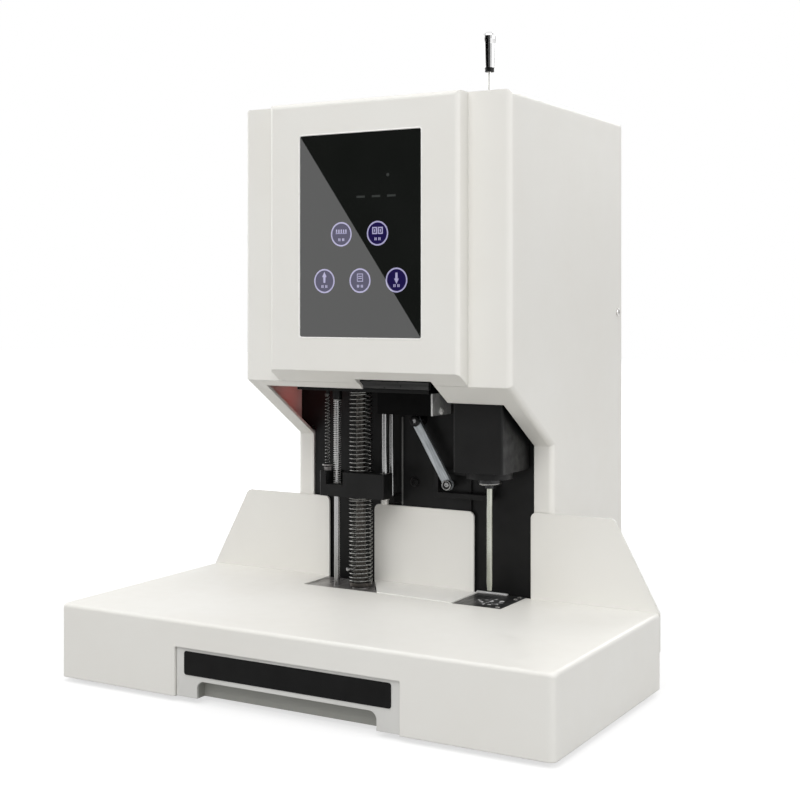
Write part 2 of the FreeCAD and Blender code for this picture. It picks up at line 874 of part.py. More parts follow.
def fences():
    """Three paper stops, bolted behind the table's rear wall."""
    back = "places.table_back"
    low = "places.table_top - dims.fence_depth_below"
    high = "(places.table_top + dims.side_fence_height)"
    outer = "(places.half_base)"
    for name, sign, inner in (("left", "-", "places.side_fence_inner_left"),
                              ("right", "", "places.side_fence_inner_right")):
        body = new_body("fence_" + name)
        shoulder = "%s(%s - dims.fence_slant)" % (sign, outer)
        corner = sign + outer
        pad(body, "y", back, "places.fence_back",
            [(inner, low), (inner, high), (shoulder, high),
             (corner, "places.table_top"), (corner, low)])
        round_edges(body, "dims.fence_corner",
                    lambda mid, way, size: way.y > 0.9 and near(mid.z, high))
        publish("fence_" + name, body)
    body = new_body("fence_middle")
    high = "(places.table_top + dims.middle_fence_height)"
    pad(body, "y", back, "places.fence_back",
        box_loop("places.middle_fence_left", low, "places.middle_fence_right", high))
    round_edges(body, "dims.fence_corner",
                lambda mid, way, size: way.y > 0.9 and near(mid.z, high))
    publish("fence_middle", body)
    screws = []
    across = ("-(places.half_base - dims.fence_bolt_outer)",
              "-(places.half_column + dims.fence_bolt_gap)",
              "places.half_column + dims.fence_bolt_gap",
              "places.half_base - dims.fence_bolt_outer",
              "places.middle_bolt_left", "places.middle_bolt_right")
    for i, x in enumerate(across):
        screws.append(rod("fence_screw_%d" % i, x, "places.fence_back",
                          "places.table_top - dims.fence_bolt_drop",
                          "dims.bolt_head", "dims.bolt_height", "y"))
    return screws


# ------------------------------------------------------------------- casing

def casing_shell():
    """Column and overhanging head in one moulding, open at the back."""
    body = new_body("casing")
    half = "places.half_column"
    low, high = "dims.foot_height", "dims.machine_height"
    front, head = "places.column_front", "places.head_front"
    rear = "places.column_rear"
    pad(body, "x", "-" + half, half,
        [(front, low), (front, "dims.throat_height"), (head, "dims.chin_height"),
         (head, high), (rear, high), (rear, low)])
    round_edges(body, "dims.casing_edge",
                lambda mid, way, size: abs(abs(mid.x) - value(half)) < 0.01
                and way.x < 0.1 and not near(mid.y, rear) and not near(mid.z, low))
    wall = "(%s - dims.shell)" % half
    drop = " - places.slope * dims.shell + places.slope_shell"
    pocket(body, "x", "-" + wall, wall,
           [(front + " + dims.shell", low + " - 1"),
            (front + " + dims.shell", "dims.throat_height" + drop),
            (head + " + dims.shell", "dims.chin_height" + drop),
            (head + " + dims.shell", high + " - dims.shell"),
            (rear + " + 1", high + " - dims.shell"), (rear + " + 1", low + " - 1")])
    throat = "places.half_throat"
    pocket(body, "y", front + " - 1", front + " + dims.shell + 1",
           box_loop("-" + throat, low + " - 1", throat,
                    "dims.throat_height + places.slope_shell"))
    reach = front + " - dims."
    pocket(body, "z", "dims.throat_height - 1", "dims.chin_height + 2 * dims.shell",
           [("-" + throat, front + " + 1"), ("-" + throat, reach + "step_left_reach"),
            ("places.notch_left", reach + "step_left_reach"),
            ("places.notch_left", reach + "notch_reach"),
            ("places.notch_right", reach + "notch_reach"),
            ("places.notch_right", reach + "step_right_reach"),
            (throat, reach + "step_right_reach"), (throat, front + " + 1")])
    margin = "dims.window_margin"
    window = "(dims.glass_width / 2 + %s)" % margin
    pocket(body, "y", head + " - 1", head + " + dims.shell + 1",
           box_loop("dims.glass_shift - " + window, "places.glass_low - " + margin,
                    "dims.glass_shift + " + window,
                    "places.glass_low + dims.glass_height + " + margin))
    pocket(body, "z", high + " - dims.shell - 1", high + " + 1",
           ("places.drill_x", "places.stations_y", "dims.grommet_radius"))
    return publish("casing_shell", body)


def front_cover():
    """Raised cover on the head, with a framed window for the touch glass."""
    body = new_body("cover")
    half = "(dims.cover_width / 2)"
    head, face = "places.head_front", "places.cover_front"
    low = "(dims.chin_height)"
    lip = "(dims.chin_height + places.slope * dims.cover_rise)"
    high = "dims.machine_height"
    pad(body, "x", "-" + half, half,
        [(head, low), (face, lip), (face, high), (head, high)])
    round_edges(body, "dims.cover_edge",
                lambda mid, way, size: (near(mid.y, face) and not way.x > 0.9)
                or (near(mid.y, face) and near(mid.z, high)))
    wall = "(%s - dims.shell)" % half
    pocket(body, "x", "-" + wall, wall,
           [(head + " + 1", low + " - places.slope + places.slope_shell"),
            (face + " + dims.shell",
             lip + " - places.slope * dims.shell + places.slope_shell"),
            (face + " + dims.shell", high + " - dims.shell"),
            (head + " + 1", high + " - dims.shell")])
    pocket(body, "z", low + " - 1", lip + " + places.slope_shell",
           box_loop("places.notch_left", "places.column_front - dims.notch_reach",
                    "places.notch_right", head + " + 1"))
    left = "dims.glass_shift - dims.glass_width / 2"
    right = "dims.glass_shift + dims.glass_width / 2"
    top = "places.glass_low + dims.glass_height"
    pocket(body, "y", face + " - 1", face + " + dims.shell - dims.gap",
           box_loop(left + " - dims.gap", "places.glass_low - dims.gap",
                    right + " + dims.gap", top + " + dims.gap"))
    pocket(body, "y", face, face + " + dims.shell + 1",
           box_loop(left + " + dims.window_rim", "places.glass_low + dims.window_rim",
                    right + " - dims.window_rim", top + " - dims.window_rim"))
    return publish("front_cover", body)


def touch_panel():
    """Glass with touch keys, and the circuit board behind the window."""
    left = "dims.glass_shift - dims.glass_width / 2"
    body = new_body("glass")
    face = "places.cover_front + dims.glass_sunk"
    back = "places.cover_front + dims.shell - 2 * dims.gap"
    pad(body, "y", face, back,
        box_loop(left, "places.glass_low", left + " + dims.glass_width",
                 "places.glass_low + dims.glass_height"))
    publish("touch_glass", body)
    board = new_body("board")
    rim = "dims.window_rim"
    start = "places.cover_front + dims.shell + dims.gap"
    pad(board, "y", start, start + " + dims.board_thick",
        box_loop(left + " - " + rim, "places.glass_low - " + rim,
                 left + " + dims.glass_width + " + rim,
                 "places.glass_low + dims.glass_height + " + rim))
    chips = []
    for part, width, height in (("relay", "side", "side"), ("driver", "width", "height"),
                                ("plug", "width", "height")):
        x = "%s + dims.%s_left" % (left, part)
        z = "places.glass_low + dims.%s_rise" % part
        chips.append(box_loop(x, z, "%s + dims.%s_%s" % (x, part, width),
                              "%s + dims.%s_%s" % (z, part, height)))
    back = start + " + dims.board_thick"
    pad(board, "y", back + " - 0.1", back + " + dims.chip_height", *chips)
    return board


def rear_cover():
    """Flat rear panel with cooling slots and holes for inlet and switch."""
    body = new_body("rear")
    half = "(places.half_column - dims.shell - dims.gap)"
    low = "dims.foot_height"
    high = "dims.machine_height - dims.shell - dims.gap"
    front = "places.column_rear - dims.rear_thick"
    pad(body, "y", front, "places.column_rear", box_loop("-" + half, low, half, high))
    slots = []
    for i in range(int(value("dims.vent_count"))):
        z = "dims.vent_low + %d * dims.vent_pitch" % i
        for side in ("-", ""):
            x = "%s(dims.vent_width / 2 + dims.vent_gap / 2)" % side
            slots.append(box_loop(x + " - dims.vent_width / 2", z,
                                  x + " + dims.vent_width / 2",
                                  z + " + dims.vent_height"))
    holes = [around("inlet", "dims.inlet_body_width / 2 + dims.gap",
                    "dims.inlet_body_height / 2 + dims.gap"),
             around("switch", "dims.switch_body_width / 2 + dims.gap",
                    "dims.switch_body_height / 2 + dims.gap")]
    pocket(body, "y", front + " - 1", "places.column_rear + 1", *(slots + holes))
    return publish("rear_cover", body)


def around(thing, half_width, half_height):
    """Outline centred on the inlet or the switch."""
    x, z = "dims.%s_x" % thing, "dims.%s_z" % thing
    return box_loop("%s - (%s)" % (x, half_width), "%s - (%s)" % (z, half_height),
                    "%s + (%s)" % (x, half_width), "%s + (%s)" % (z, half_height))


def socket_box(thing):
    """Flanged box let into the rear panel, hollow from behind."""
    rear = "places.column_rear"
    body = new_body(thing + "_box")
    pad(body, "y", rear, rear + " + dims.rear_lip",
        around(thing, "dims.%s_width / 2" % thing, "dims.%s_height / 2" % thing))
    width, height = "dims.%s_body_width / 2" % thing, "dims.%s_body_height / 2" % thing
    pad(body, "y", "%s - dims.%s_depth" % (rear, thing), rear + " + 0.1",
        around(thing, width, height))
    pocket(body, "y", "%s - dims.%s_depth + dims.%s_floor" % (rear, thing, thing),
           rear + " + dims.rear_lip + 1",
           around(thing, width + " - dims.socket_wall", height + " - dims.socket_wall"))
    return body


def power_entry():
    """Mains inlet with its contacts, and rocker switch, in the rear panel."""
    rear = "places.column_rear"
    contacts = []
    start = rear + " - dims.inlet_depth + dims.inlet_floor - 1"
    for i, (side, level) in enumerate(((-1, 1), (1, 1), (0, 0))):
        contacts.append(block(
            "contact_%d" % i,
            "dims.inlet_x + (%d) * dims.contact_pitch / 2 - dims.contact_width / 2" % side,
            start,
            "dims.inlet_z + (%d) * dims.contact_rise - dims.contact_rise * 3 / 4" % level,
            "dims.contact_width", "dims.contact_length", "dims.contact_height"))
    publish("power_inlet", group("inlet_and_switch", socket_box("inlet"),
                                 socket_box("switch"), *contacts))
    rocker = new_body("rocker")
    half = "dims.rocker_length / 2"
    tall = "dims.rocker_height / 2"
    back = rear + " - dims.rocker_thick"
    pad(rocker, "z", "dims.switch_z - " + tall, "dims.switch_z + " + tall,
        [("dims.switch_x - " + half, back), ("dims.switch_x + " + half, back),
         ("dims.switch_x + " + half, rear + " - dims.rocker_sunk"),
         ("dims.switch_x", rear + " - dims.rocker_middle"),
         ("dims.switch_x - " + half, rear + " + dims.rocker_proud")])
    publish("power_rocker", rocker)


def casing_screws():
    """Screws through the casing's sides into the rear panel's flanges."""
    items = []
    for side, sign in (("left", "-"), ("right", "")):
        for level, z in (("low", "dims.side_screw_low"),
                         ("high", "dims.side_screw_high")):
            face = "%splaces.half_column" % sign
            if side == "left":
                face += " - dims.side_screw_height"
            items.append(rod("side_screw_%s_%s" % (side, level), face,
                             "places.column_rear - dims.side_screw_inset", z,
                             "dims.side_screw_head", "dims.side_screw_height", "x"))
    return items


# ---------------------------------------------------------------- scrap drawer

def scrap_drawer():
    """Tray for paper chips; its front is cut away below as a finger grip."""
    body = new_body("drawer")
    face, back = "places.drawer_face", "places.drawer_back"
    half = "(dims.drawer_width / 2)"
    low = "(dims.foot_height + dims.gap)"
    high = "dims.foot_height + dims.drawer_height"
    pad(body, "y", face, back, box_loop("-" + half, low, half, high))
    grip = "(dims.grip_width / 2)"
    top = "dims.foot_height + dims.grip_height"
    pocket(body, "y", face + " - 1", back + " - dims.drawer_wall",
           box_loop("-" + grip, low + " - 1", grip, top))
    round_edges(body, "dims.grip_corner",
                lambda mid, way, size: way.y > 0.9 and near(mid.z, top))
    tray = "(dims.tray_width / 2)"
    tray_low = "(places.floor_top + dims.gap)"
    tray_high = "(places.floor_top + dims.tray_height)"
    end = back + " + dims.tray_depth"
    pad(body, "y", back + " - 0.1", end, box_loop("-" + tray, tray_low, tray, tray_high))
    inner = "(dims.tray_width / 2 - dims.drawer_wall)"
    pocket(body, "z", tray_low + " + dims.drawer_wall", tray_high + " + 1",
           box_loop("-" + inner, back + " + 0.1", inner, end + " - dims.drawer_wall"))
    return publish("scrap_drawer", body)


def drawer_label():
    """Dark plate on the drawer's front, without lettering."""
    body = new_body("label")
    half = "(dims.label_width / 2)"
    pad(body, "y", "places.drawer_face - dims.label_thick", "places.drawer_face",
        box_loop("-" + half, "dims.label_low", half, "dims.label_low + dims.label_height"))
    round_edges(body, "dims.label_corner", lambda mid, way, size: way.y > 0.9)
    return publish("drawer_label", body)


def drawer_rails():
    """Folded rails on the floor plate; the tray runs between them."""
    rails = []
    for sign, name in (("-", "left"), ("", "right")):
        body = new_body("rail_" + name)
        inner = "dims.tray_width / 2 + dims.gap"
        outer = inner + " + dims.rail_thick"
        toe = inner + " + dims.rail_toe"
        low = "places.floor_top - 0.1"
        near_side, far_side = "%s(%s)" % (sign, inner), "%s(%s)" % (sign, outer)
        pad(body, "y", "places.drawer_back + dims.rail_setback",
            "places.drawer_back + dims.tray_depth",
            [(near_side, low), ("%s(%s)" % (sign, toe), low),
             ("%s(%s)" % (sign, toe), low + " + dims.rail_thick"),
             (far_side, low + " + dims.rail_thick"),
             (far_side, low + " + dims.rail_height"),
             (near_side, low + " + dims.rail_height")])
        rails.append(body)
    return rails


# --------------------------------------------------------------------- the bed

def bed_bridge():
    """Bent steel bridge that carries both stations' plates over the floor."""
    body = new_body("bridge")
    left = "places.rivet_cut_left - dims.bridge_left"
    right = "places.drill_cut_right + dims.bridge_right"
    top, thick = "places.bed_top", "dims.bed_thick"
    front = "places.drill_front + dims.gap"
    back = "places.table_back - dims.shell - dims.gap"
    floor = "places.floor_top"
    pad(body, "y", front, back,
        [(left, floor), (left, top), (right, top), (right, floor),
         (right + " - " + thick, floor), (right + " - " + thick, top + " - " + thick),
         (left + " + " + thick, top + " - " + thick), (left + " + " + thick, floor)])
    round_edges(body, "dims.bend_radius",
                lambda mid, way, size: way.y > 0.9 and near(mid.z, top))
    hole = "dims.rod_radius + dims.running"
    pocket(body, "z", "%s - %s - 1" % (top, thick), top + " + 1",
           ("places.rod_left", "places.stations_y", hole))
    return publish("bed_bridge", body)


def rivet_plate():
    """Steel plate in the left cut-out, pierced by the press's long guide rod."""
    body = new_body("rivet_bed")
    slack = "dims.plate_clearance"
    front = "places.rivet_front + " + slack
    back = "places.table_back"
    pad(body, "z", "places.bed_top", "places.table_top - dims.rivet_plate_drop",
        [("places.rivet_cut_left + " + slack, front),
         ("places.rivet_cut_right - 2 * " + slack, front),
         ("places.rivet_cut_right - dims.rivet_cut_splay - 2 * " + slack, back),
         ("places.rivet_cut_left + " + slack, back)])
    hole = "dims.rod_radius + dims.running"
    pocket(body, "z", "places.bed_top - 1", "places.table_top + 1",
           ("places.rod_left", "places.stations_y", hole))
    return publish("rivet_plate", body)


def lower_die():
    """Round riveting die with a ring groove that curls the rivet's end."""
    top = "places.table_top - dims.rivet_plate_drop"
    disc = rod("die_disc", "places.rivet_x", "places.stations_y", top, "dims.die_radius",
               "dims.die_height")
    dish = doc.addObject("Part::Torus", "die_dish")
    dish.setExpression("Radius1", "dims.dish_radius")
    dish.setExpression("Radius2", "dims.dish_depth")
    move(dish, "places.rivet_x", "places.stations_y", top + " + dims.die_height")
    return publish("lower_die", cut("die", disc, dish))


def drill_bed():
    """Black plate in the right cut-out; the cutting pad drops in and turns."""
    body = new_body("drill_plate_body")
    slack = "dims.plate_clearance"
    left, right = "places.drill_cut_left + " + slack, "places.drill_cut_right - " + slack
    front = "places.drill_front + " + slack
    back = "places.mast_front - dims.gap"
    top = "places.table_top - dims.drill_plate_drop"
    slip = "dims.pad_clearance"
    pad(body, "z", "places.bed_top", top, box_loop(left, front, right, back))
    pocket(body, "z", top + " - dims.pad_thick", top + " + 1",
           ("places.drill_x", "places.stations_y", "dims.pad_radius + " + slip))
    publish("drill_plate", body)
    pad_body = new_body("pad_disc")
    low = top + " - dims.pad_thick + " + slip
    pad(pad_body, "z", low, top + " + dims.pad_proud",
        ("places.drill_x", "places.stations_y", "dims.pad_radius"))
    for dx in ("-", "+"):
        pocket(pad_body, "z", top + " - dims.pit_depth", top + " + 1",
               ("places.drill_x %s dims.pit_spread" % dx, "places.stations_y",
                "dims.pit_radius"))
    publish("drill_pad", pad_body)
    screws = []
    inset = "dims.plate_screw_inset"
    middle = "(%s + 3 * (%s)) / 4" % (front, back)
    for i, y in enumerate((front + " + " + inset, middle, back + " - " + inset)):
        screws.append(rod("drill_plate_screw_%d" % i, right + " - " + inset, y, top,
                          "dims.plate_screw_head", "dims.plate_screw_height"))
    strip = block("strip", "places.strip_left", "places.table_back + dims.strip_setback", top,
                  "places.strip_right - places.strip_left", "dims.strip_thick",
                  "dims.strip_height")
    publish("stop_strip", strip)
    return screws


# -------------------------------------------------------------------- the mast

def mast_plate():
    """Black steel back plate; wider inside the head than in the throat."""
    body = new_body("mast")
    slim = "(places.half_throat - 2 * dims.gap)"
    wide = "(places.half_column - dims.shell - dims.gap)"
    step = "dims.throat_height + dims.mast_step"
    low = "places.floor_top"
    pad(body, "y", "places.mast_front", "places.mast_back",
        [("-" + slim, low), (slim, low), (slim, step), (wide, step),
         (wide, "places.mast_top"), ("-" + wide, "places.mast_top"), ("-" + wide, step),
         ("-" + slim, step)])
    pocket(body, "y", "places.mast_front - 1", "places.mast_back + 1",
           ("places.lever_x", "dims.lever_z", "dims.lever_boss + dims.shaft_clearance"))
    return publish("mast_plate", fuse("mast_and_gussets", body, *mast_gussets()))


def mast_gussets():
    """Folded feet that hold the mast upright on the floor plate."""
    items = []
    for name in ("left", "right"):
        x = "places.gusset_" + name
        body = new_body("gusset_" + name)
        back = "places.mast_back"
        low = "places.floor_top"
        pad(body, "x", x, x + " + dims.gusset_thick",
            [(back, low), (back + " + dims.gusset_depth", low),
             (back + " + dims.gusset_depth", low + " + dims.gusset_toe"),
             (back + " + dims.gusset_toe", low + " + dims.gusset_height"),
             (back, low + " + dims.gusset_height")])
        items.append(body)
    return items


def gear_plate():
    """Second plate in front of the mast, for the lift lever's bearing."""
    body = new_body("gear_plate_body")
    back = "places.mast_front - dims.gap"
    front = back + " - dims.gear_plate_thick"
    pad(body, "y", front, back,
        box_loop("places.gear_plate_left", "dims.gear_plate_low",
                 "places.gear_plate_right", "dims.gear_plate_top"))
    pocket(body, "y", front + " - 1", back + " + 1",
           ("places.lever_x", "dims.lever_z", "dims.lever_boss + dims.shaft_clearance"))
    publish("gear_plate", body)
    screws = []
    face = front + " - dims.gear_screw_height"
    for i, (x, z) in enumerate((("left", "low"), ("right", "high"))):
        x, z = "places.gear_screw_" + x, "dims.gear_screw_" + z
        cap = rod("gear_screw_cap_%d" % i, x, face, z, "dims.gear_screw_head",
                  "dims.gear_screw_height", "y")
        socket = rod("gear_screw_socket_%d" % i, x, face + " - 1", z,
                     "dims.gear_screw_socket", "dims.gear_screw_depth + 1", "y")
        screws.append(cut("gear_screw_%d" % i, cap, socket))
    return screws


# ------------------------------------------------------------ the rivet press

def press_frame(brackets):
    """Fixed frame of the press: top plate, rod block, rods and bracket.

    The left rod stands on the bed; the right one hangs from its block and ends
    below the carriage, and the tie rod ends in a lug on the mast.
    """
    top_low = "dims.top_plate_z"
    top_high = top_low + " + dims.top_plate_thick"
    y_back = "places.mast_front"
    hole = "dims.rod_radius + dims.running"
    body = new_body("top_plate_body")
    pad(body, "z", top_low, top_high,
        box_loop("places.top_plate_left", "places.top_plate_front", "places.top_plate_right",
                 y_back))
    pocket(body, "z", top_low + " - 1", top_high + " + 1",
           ("places.rod_left", "places.stations_y", hole),
           ("places.rod_right", "places.stations_y", hole),
           ("places.tie_rod_x", "places.tie_rod_y", "dims.tie_rod_radius + dims.running"),
           ("places.rivet_x", "places.stations_y", "dims.shaft_radius + 0.5"))
    rod_cap = tube("rod_cap", "places.rod_left", "places.stations_y", "places.fine_high",
                   "dims.rod_cap_radius", hole, top_low + " + 0.1 - places.fine_high")
    hanger = rod("spring_hanger", "places.return_x", "places.return_y",
                 top_low + " - dims.hanger_drop", "dims.post_radius",
                 "dims.hanger_drop + 0.1")
    publish("top_plate", fuse("top_plate_all", body, rod_cap, hanger))
    bed_low = "(places.bed_top - dims.bed_thick)"
    hang_low = "(dims.carriage_low - dims.bush_below - dims.rod_spare)"
    tie_low = "dims.tie_rod_low"
    rods = [rod("rod_left", "places.rod_left", "places.stations_y", bed_low,
                "dims.rod_radius", "%s - %s" % (top_high, bed_low)),
            rod("rod_right", "places.rod_right", "places.stations_y", hang_low,
                "dims.rod_radius", "%s - %s" % (top_high, hang_low)),
            rod("tie_rod", "places.tie_rod_x", "places.tie_rod_y", tie_low,
                "dims.tie_rod_radius", "%s - %s" % (top_high, tie_low))]
    publish("press_rods", group("press_rod_set", *rods))
    block_body = new_body("rod_block_body")
    block_low = "dims.top_plate_z - dims.block_drop"
    pad(block_body, "z", block_low, top_low,
        box_loop("places.block_left", "places.block_front", "places.block_right",
                 "places.block_front + dims.block_depth"))
    pocket(block_body, "z", block_low + " - 1", top_low + " + 1",
           ("places.rod_right", "places.stations_y", hole))
    publish("rod_block", block_body)
    bracket = block("bracket_plate", "places.block_right", "places.block_front", block_low,
                    "dims.bracket_thick", "places.fence_back - dims.gap - places.block_front",
                    "dims.block_drop")
    publish("side_bracket", bracket)
    lug = new_body("tie_lug")
    half = "dims.tie_lug_half"
    pad(lug, "z", tie_low, tie_low + " + dims.tie_lug_height",
        box_loop("places.tie_rod_x - " + half, "places.tie_rod_y - " + half,
                 "places.tie_rod_x + " + half, y_back))
    pocket(lug, "z", tie_low + " - 1", tie_low + " + dims.tie_lug_height + 1",
           ("places.tie_rod_x", "places.tie_rod_y", "dims.tie_rod_radius + dims.fitted"))
    brackets.append(lug)
    return [rod("bracket_screw", "places.block_right + dims.bracket_thick",
                "places.bracket_screw_y", top_low + " - dims.bracket_screw_drop",
                "dims.bracket_screw_head", "dims.bracket_screw_height", "x")]


def press_carriage():
    """Sliding block of the press, its bushes, and the punch shaft it grips."""
    low, high = "dims.carriage_low", "places.carriage_top"
    front = "places.carriage_front"
    body = new_body("carriage")
    pad(body, "z", low, high,
        box_loop("places.carriage_left", front, "places.carriage_right",
                 front + " + dims.carriage_depth"))
    round_edges(body, "dims.carriage_corner", lambda mid, way, size: way.z > 0.9)
    pocket(body, "z", "places.fine_low", high + " + 1",
           box_loop("places.rod_left - dims.recess_left", front + " - 1",
                    "places.rod_left + dims.recess_right",
                    "places.stations_y + dims.recess_back"))
    bush_seat = "dims.bush_radius + dims.fitted"
    pocket(body, "z", low + " - 1", high + " + 1",
           ("places.rod_left", "places.stations_y", bush_seat),
           ("places.rod_right", "places.stations_y", bush_seat),
           ("places.rivet_x", "places.stations_y", "dims.shaft_radius + dims.fitted"))
    post = rod("spring_post", "places.return_x", "places.return_y", high + " - 0.1",
               "dims.post_radius", "places.return_low - places.carriage_top + 0.1")
    nut = rod("post_nut", "places.return_x", "places.return_y", high + " - 0.1",
              "dims.post_nut_radius", "dims.post_nut_height + 0.1")
    seat = rod("post_seat", "places.return_x", "places.return_y",
               "places.return_low - dims.post_seat_thick", "dims.post_seat_radius",
               "dims.post_seat_thick")
    publish("press_carriage", fuse("carriage_and_post", body, post, nut, seat))
    bushes = []
    for name, top in (("left", "places.fine_low"), ("right", high)):
        bushes.append(tube("bush_" + name, "places.rod_" + name, "places.stations_y",
                           low + " - dims.bush_below", "dims.bush_radius",
                           "dims.rod_radius + dims.running",
                           "%s - %s + dims.bush_below" % (top, low)))
    publish("carriage_bushes", group("bush_pair", *bushes))
    shaft = new_body("shaft")
    radius = "dims.shaft_radius"
    tip = "(places.table_top + dims.shaft_rise)"
    turn(shaft, [(0, tip), ("dims.shaft_tip", tip), (radius, tip + " + dims.shaft_taper"),
                 (radius, "dims.shaft_top"), (0, "dims.shaft_top")])
    move(shaft, "places.rivet_x", "places.stations_y", 0)
    publish("punch_shaft", shaft)


def pressure_sleeve():
    """Spring-loaded foot round the punch; it clamps the paper first."""
    body = new_body("sleeve")
    bore = "dims.shaft_radius + dims.running"
    turn(body, [(bore, "places.sleeve_low"), ("dims.sleeve_flange", "places.sleeve_low"),
                ("dims.sleeve_flange", "places.sleeve_seat"),
                ("dims.sleeve_hub", "places.sleeve_seat"),
                ("dims.sleeve_hub", "places.sleeve_top"), (bore, "places.sleeve_top")])
    move(body, "places.rivet_x", "places.stations_y", 0)
    publish("pressure_sleeve", body)


def press_springs():
    """Main, foot, fine and return springs of the press."""
    x, y = "places.rivet_x", "places.stations_y"
    radius, wire, turns = "dims.spring_radius", "dims.spring_wire", "dims.spring_turns"
    publish("main_spring", coil("main_coil", x, y, "places.carriage_top", "dims.top_plate_z",
                                radius, wire, turns))
    publish("foot_spring", coil("foot_coil", x, y, "places.sleeve_seat", "dims.carriage_low",
                                radius, wire, turns))
    publish("fine_spring", coil("fine_coil", "places.rod_left", y, "places.fine_low",
                                "places.fine_high", "dims.fine_radius", "dims.fine_wire",
                                "dims.fine_turns"))
    publish("return_spring", coil("return_coil", "places.return_x", "places.return_y",
                                  "places.return_low",
                                  "dims.top_plate_z - dims.hanger_drop",
                                  "dims.return_radius", "dims.return_wire",
                                  "dims.return_turns"))


def press_actuator():
    """Electric push rod that drives the punch shaft down."""
    body = new_body("actuator")
    outer = "dims.actuator_radius"
    bore = "dims.shaft_radius + dims.running"
    low, high = "dims.actuator_low", "places.actuator_top"
    hollow_top = "dims.shaft_top + dims.travel + dims.actuator_spare"
    turn(body, [(bore, low), (outer + " - dims.actuator_nose", low),
                (outer, low + " + dims.actuator_nose_rise"),
                (outer, high + " - dims.actuator_crown_drop"),
                (outer + " - dims.actuator_crown", high),
                (0, high), (0, hollow_top), (bore, hollow_top)])
    move(body, "places.rivet_x", "places.stations_y", 0)
    publish("press_actuator", body)
    arm = new_body("actuator_arm")
    level = high + " - dims.arm_drop"
    reach = "(%s + dims.arm_margin)" % outer
    pad(arm, "z", level, level + " + dims.arm_thick",
        box_loop("places.rivet_x - " + reach, "places.stations_y",
                 "places.rivet_x + " + reach, "places.mast_front"))
    pocket(arm, "z", level + " - 1", level + " + dims.arm_thick + 1",
           ("places.rivet_x", "places.stations_y", outer + " + dims.fitted"))
    return arm


# -------------------------------------------------------------- the drill head

def drill_housing():
    """Square housing of the spindle, with a bearing seat at each end."""
    body = new_body("housing")
    half = "(dims.housing_side / 2)"
    low, high = "dims.housing_low", "dims.housing_top"
    x, y = "places.drill_x", "places.stations_y"
    pad(body, "z", low, high,
        box_loop("%s - %s" % (x, half), "%s - %s" % (y, half),
                 "%s + %s" % (x, half), "%s + %s" % (y, half)))
    round_edges(body, "dims.housing_corner", lambda mid, way, size: way.z > 0.9)
    seat = "dims.bearing_radius + dims.bearing_slack"
    pocket(body, "z", low + " - 1", high + " + 1",
           (x, y, "dims.spindle_radius + dims.spindle_room"))
    pocket(body, "z", low + " - 1", low + " + dims.bearing_height", (x, y, seat))
    pocket(body, "z", high + " - dims.bearing_height", high + " + 1", (x, y, seat))
    fin = block("housing_fin", "%s + %s - dims.fin_thick" % (x, half),
                "%s + %s - dims.housing_corner" % (y, half), low, "dims.fin_thick",
                "places.mast_front - dims.slide_room - (%s + %s - dims.housing_corner)"
                % (y, half), "dims.slide_low - dims.gap - dims.housing_low")
    publish("drill_housing", fuse("housing_and_fin", body, fin))
    bearings = []
    for name, z in (("low", low), ("high", high + " - dims.bearing_height")):
        bearings.append(tube("bearing_" + name, x, y, z, "dims.bearing_radius",
                             "dims.spindle_radius + dims.bearing_slack",
                             "dims.bearing_height"))
    publish("spindle_bearings", group("bearing_pair", *bearings))
    cap = tube("cap", x, y, low + " - dims.cap_height", "dims.cap_radius",
               "dims.spindle_radius + dims.gap", "dims.cap_height")
    publish("bearing_cap", cap)


def spindle():
    """Hollow spindle with pulley, chuck and hollow paper drill."""
    x, y = "places.drill_x", "places.stations_y"
    chuck_top = "(dims.housing_low - dims.cap_height - dims.gap)"
    chuck_low = "(%s - dims.chuck_height)" % chuck_top
    tube_body = new_body("spindle_tube")
    bore = "dims.spindle_bore"
    turn(tube_body, [(bore, chuck_top), ("dims.spindle_radius", chuck_top),
                     ("dims.spindle_radius", "dims.spindle_top"),
                     (bore, "dims.spindle_top")])
    move(tube_body, x, y, 0)
    wheel = pulley("pulley_large", x, "dims.spindle_pulley_radius",
                   "dims.spindle_radius - 0.1")
    publish("spindle", fuse("spindle_and_pulley", tube_body, wheel))
    chuck = new_body("chuck_body")
    nose = "dims.chuck_nose"
    nose_low = chuck_low + " - dims.chuck_nose_drop"
    hold = "dims.bit_radius + dims.fitted"
    turn(chuck, [(hold, nose_low), (nose, nose_low), (nose, chuck_low),
                 ("dims.chuck_radius - dims.chuck_edge", chuck_low),
                 ("dims.chuck_radius", chuck_low + " + dims.chuck_edge"),
                 ("dims.chuck_radius", chuck_top), (hold, chuck_top)])
    move(chuck, x, y, 0)
    publish("drill_chuck", chuck)
    bit = new_body("bit")
    radius, tip = "dims.bit_radius", "places.bit_tip"
    turn(bit, [("dims.bit_bore", tip), ("dims.tip_radius", tip),
               (radius, tip + " + dims.bit_taper"), (radius, chuck_top + " - 0.1"),
               ("dims.bit_bore", chuck_top + " - 0.1")])
    move(bit, x, y, 0)
    publish("drill_bit", bit)


def pulley(name, x, radius, bore):
    """Flanged flat-belt pulley on a vertical shaft."""
    body = new_body(name)
    low = "dims.pulley_low"
    high = low + " + dims.pulley_height"
    rim = radius + " + dims.pulley_rim"
    flange = "dims.pulley_flange"
    turn(body, [(bore, low), (rim, low), (rim, low + " + " + flange),
                (radius, low + " + " + flange), (radius, high + " - " + flange),
                (rim, high + " - " + flange), (rim, high), (bore, high)])
    move(body, x, "places.stations_y", 0)
    return body


